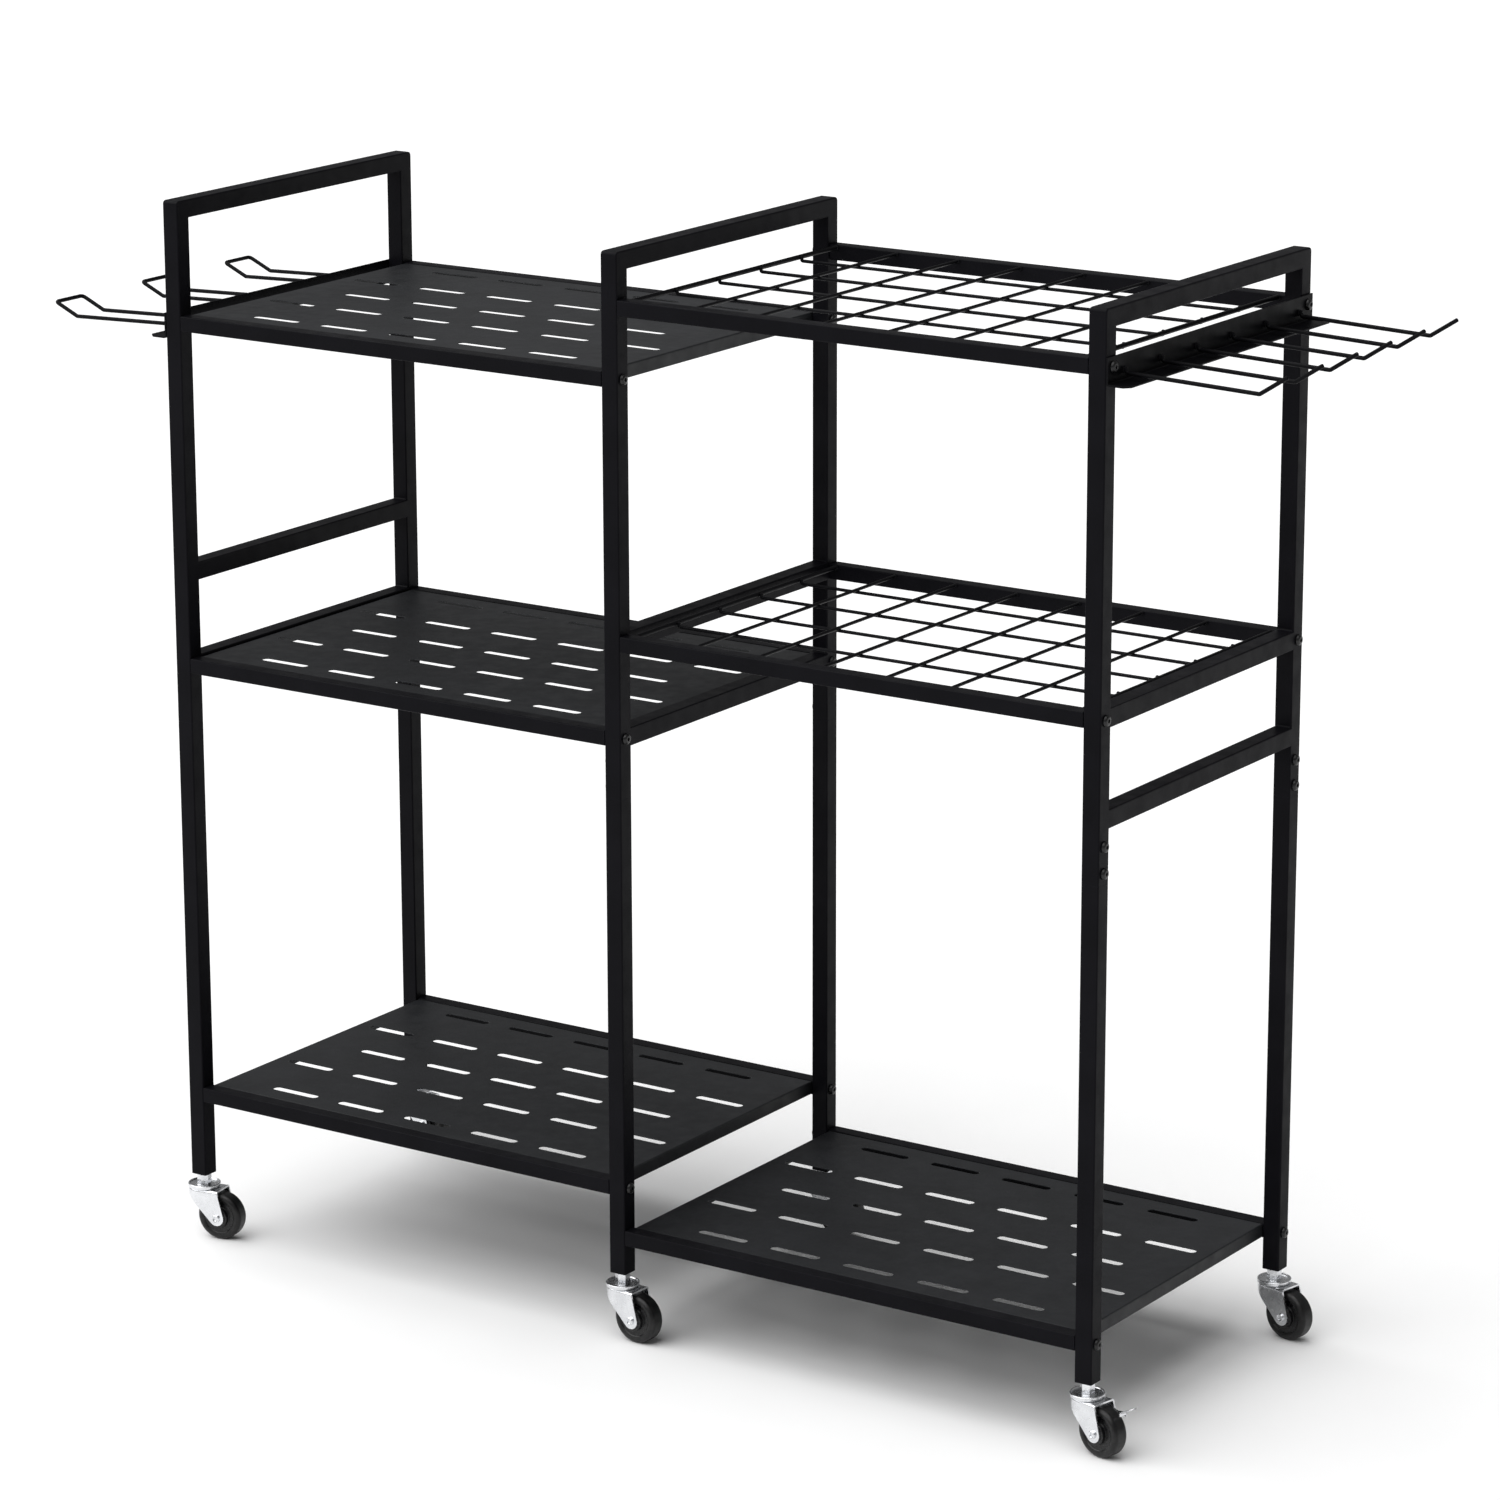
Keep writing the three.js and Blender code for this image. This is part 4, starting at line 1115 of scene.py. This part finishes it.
def add_caster(name, stem, fork, wheel, lever=None):
    """Stem on the frame's body, and fork, wheel and maybe a lever, each on its own body."""
    swivel, roll = JOINTS[f"swivel_{name}"], JOINTS[f"roll_{name}"]
    x, y, _ = Vector(swivel["pos_m"]) / MM
    yaw = math.atan2(-roll["axis"][0], roll["axis"][1])
    place = place_mm(x, y, 0, yaw)
    piece(f"caster_stem_{name}_zinc", stem, "zinc", "frame", [f"caster_stem_{name}"], place)
    body = f"fork_{name}"
    piece(f"caster_fork_{name}_zinc", fork, "zinc", body, [f"caster_fork_{name}"], place)
    axle = place @ place_mm(TRAIL, 0, WHEEL_RADIUS)
    body = f"wheel_{name}"
    piece(f"caster_wheel_{name}_moulded", wheel, "tyre", body, [f"caster_wheel_{name}"], axle)
    if lever is not None:
        piece("brake_lever_zinc", lever, "zinc", "brake_lever", ["brake_lever"], place)


# ---------- room, light and camera ----------


def add_floor():
    """A disc far wider than the view."""
    sides = 64
    points = [(x, y, 0) for x, y in arc(0, 0, 30, 0, 2 * math.pi, sides)[:-1]]
    mesh = bpy.data.meshes.new("floor")
    mesh.from_pydata(points, [], [tuple(range(sides))])
    mesh.materials.append(pale_floor("floor_paint"))
    floor = bpy.data.objects.new("floor", mesh)
    bpy.context.scene.collection.objects.link(floor)


def add_sun(name, direction, angle, strength):
    """A broad, soft light that shines from a direction."""
    light = bpy.data.lights.new(name, "SUN")
    light.angle = math.radians(angle)
    light.energy = strength
    lamp = bpy.data.objects.new(name, light)
    bpy.context.scene.collection.objects.link(lamp)
    lamp.rotation_euler = Vector(direction).to_track_quat("Z", "Y").to_euler()


def add_light():
    """A white room that lights the cart softly, with a wide softbox above it."""
    world = bpy.data.worlds.new("studio")
    world.use_nodes = True
    nodes, links = world.node_tree.nodes, world.node_tree.links
    seen = nodes.new("ShaderNodeLightPath").outputs["Is Camera Ray"]
    strength = nodes.new("ShaderNodeMapRange")
    strength.inputs["To Min"].default_value = ROOM_LIGHT
    strength.inputs["To Max"].default_value = 1.0
    links.new(seen, strength.inputs["Value"])
    background = nodes["Background"]
    background.inputs["Color"].default_value = (1, 1, 1, 1)
    links.new(strength.outputs["Result"], background.inputs["Strength"])
    bpy.context.scene.world = world
    add_sun("top_softbox", SUN["direction"], SUN["angle"], SUN["strength"])
    bpy.context.scene.view_settings.view_transform = "Standard"


def add_camera():
    """The view of the photograph: a long lens from the front right, looking a little down."""
    azimuth, elevation, roll = (math.radians(angle) for angle in CAMERA_ANGLES)
    back = Vector(
        (
            math.sin(azimuth) * math.cos(elevation),
            -math.cos(azimuth) * math.cos(elevation),
            math.sin(elevation),
        )
    )
    data = bpy.data.cameras.new("camera")
    data.lens = CAMERA_LENS
    data.sensor_width = 36
    data.clip_end = 100
    camera = bpy.data.objects.new("camera", data)
    bpy.context.scene.collection.objects.link(camera)
    turned = (-back).to_track_quat("-Z", "Y").to_matrix().to_4x4()
    rolled = Matrix.Rotation(roll, 4, "Z")
    camera.matrix_world = Matrix.Translation(CAMERA_PLACE) @ turned @ rolled
    bpy.context.scene.camera = camera


# ---------- the cart ----------

add_floor()
add_light()
add_camera()

add_side_frames()
screw_mesh = mesh_of("screw", [screw_shape()], 50)
add_joint_screws(screw_mesh)

shelf_rail = rail_mesh(OUTER_X - TUBE - 2 * FIT)
panel_low, panel_high = box_mm("panel_right_bottom")
panel_size = (panel_high - panel_low) / 2
panel_mesh = mesh_of("panel", [panel_shape(panel_size.x, panel_size.y)])
mat_mesh = mesh_of("wire_mat", wire_mat_shapes(panel_size.y), 60)
for height in ("top", "middle", "bottom"):
    for bay in ("left", "right"):
        add_shelf(f"{bay}_{height}", shelf_rail, screw_mesh, panel_mesh, mat_mesh)

plate_mesh = mesh_of("hook_plate", [hook_plate_shape()], 50)
add_rack("right", "prong", mesh_of("prong", prong_shapes(), 60), 6, plate_mesh, 0)
add_rack("left", "loop_hook", mesh_of("loop_hook", loop_shapes(), 60), 3, plate_mesh, math.pi)

stem_mesh = mesh_of("caster_stem", stem_shapes())
plain_fork, brake_fork = fork_mesh(False), fork_mesh(True)
wheel = wheel_mesh()
lever_mesh = mesh_of("brake_lever", lever_shapes())
for end in ("left", "middle", "right"):
    for side in ("front", "back"):
        if (end, side) == ("right", "front"):
            add_caster("right_front", stem_mesh, brake_fork, wheel, lever_mesh)
        else:
            add_caster(f"{end}_{side}", stem_mesh, plain_fork, wheel)
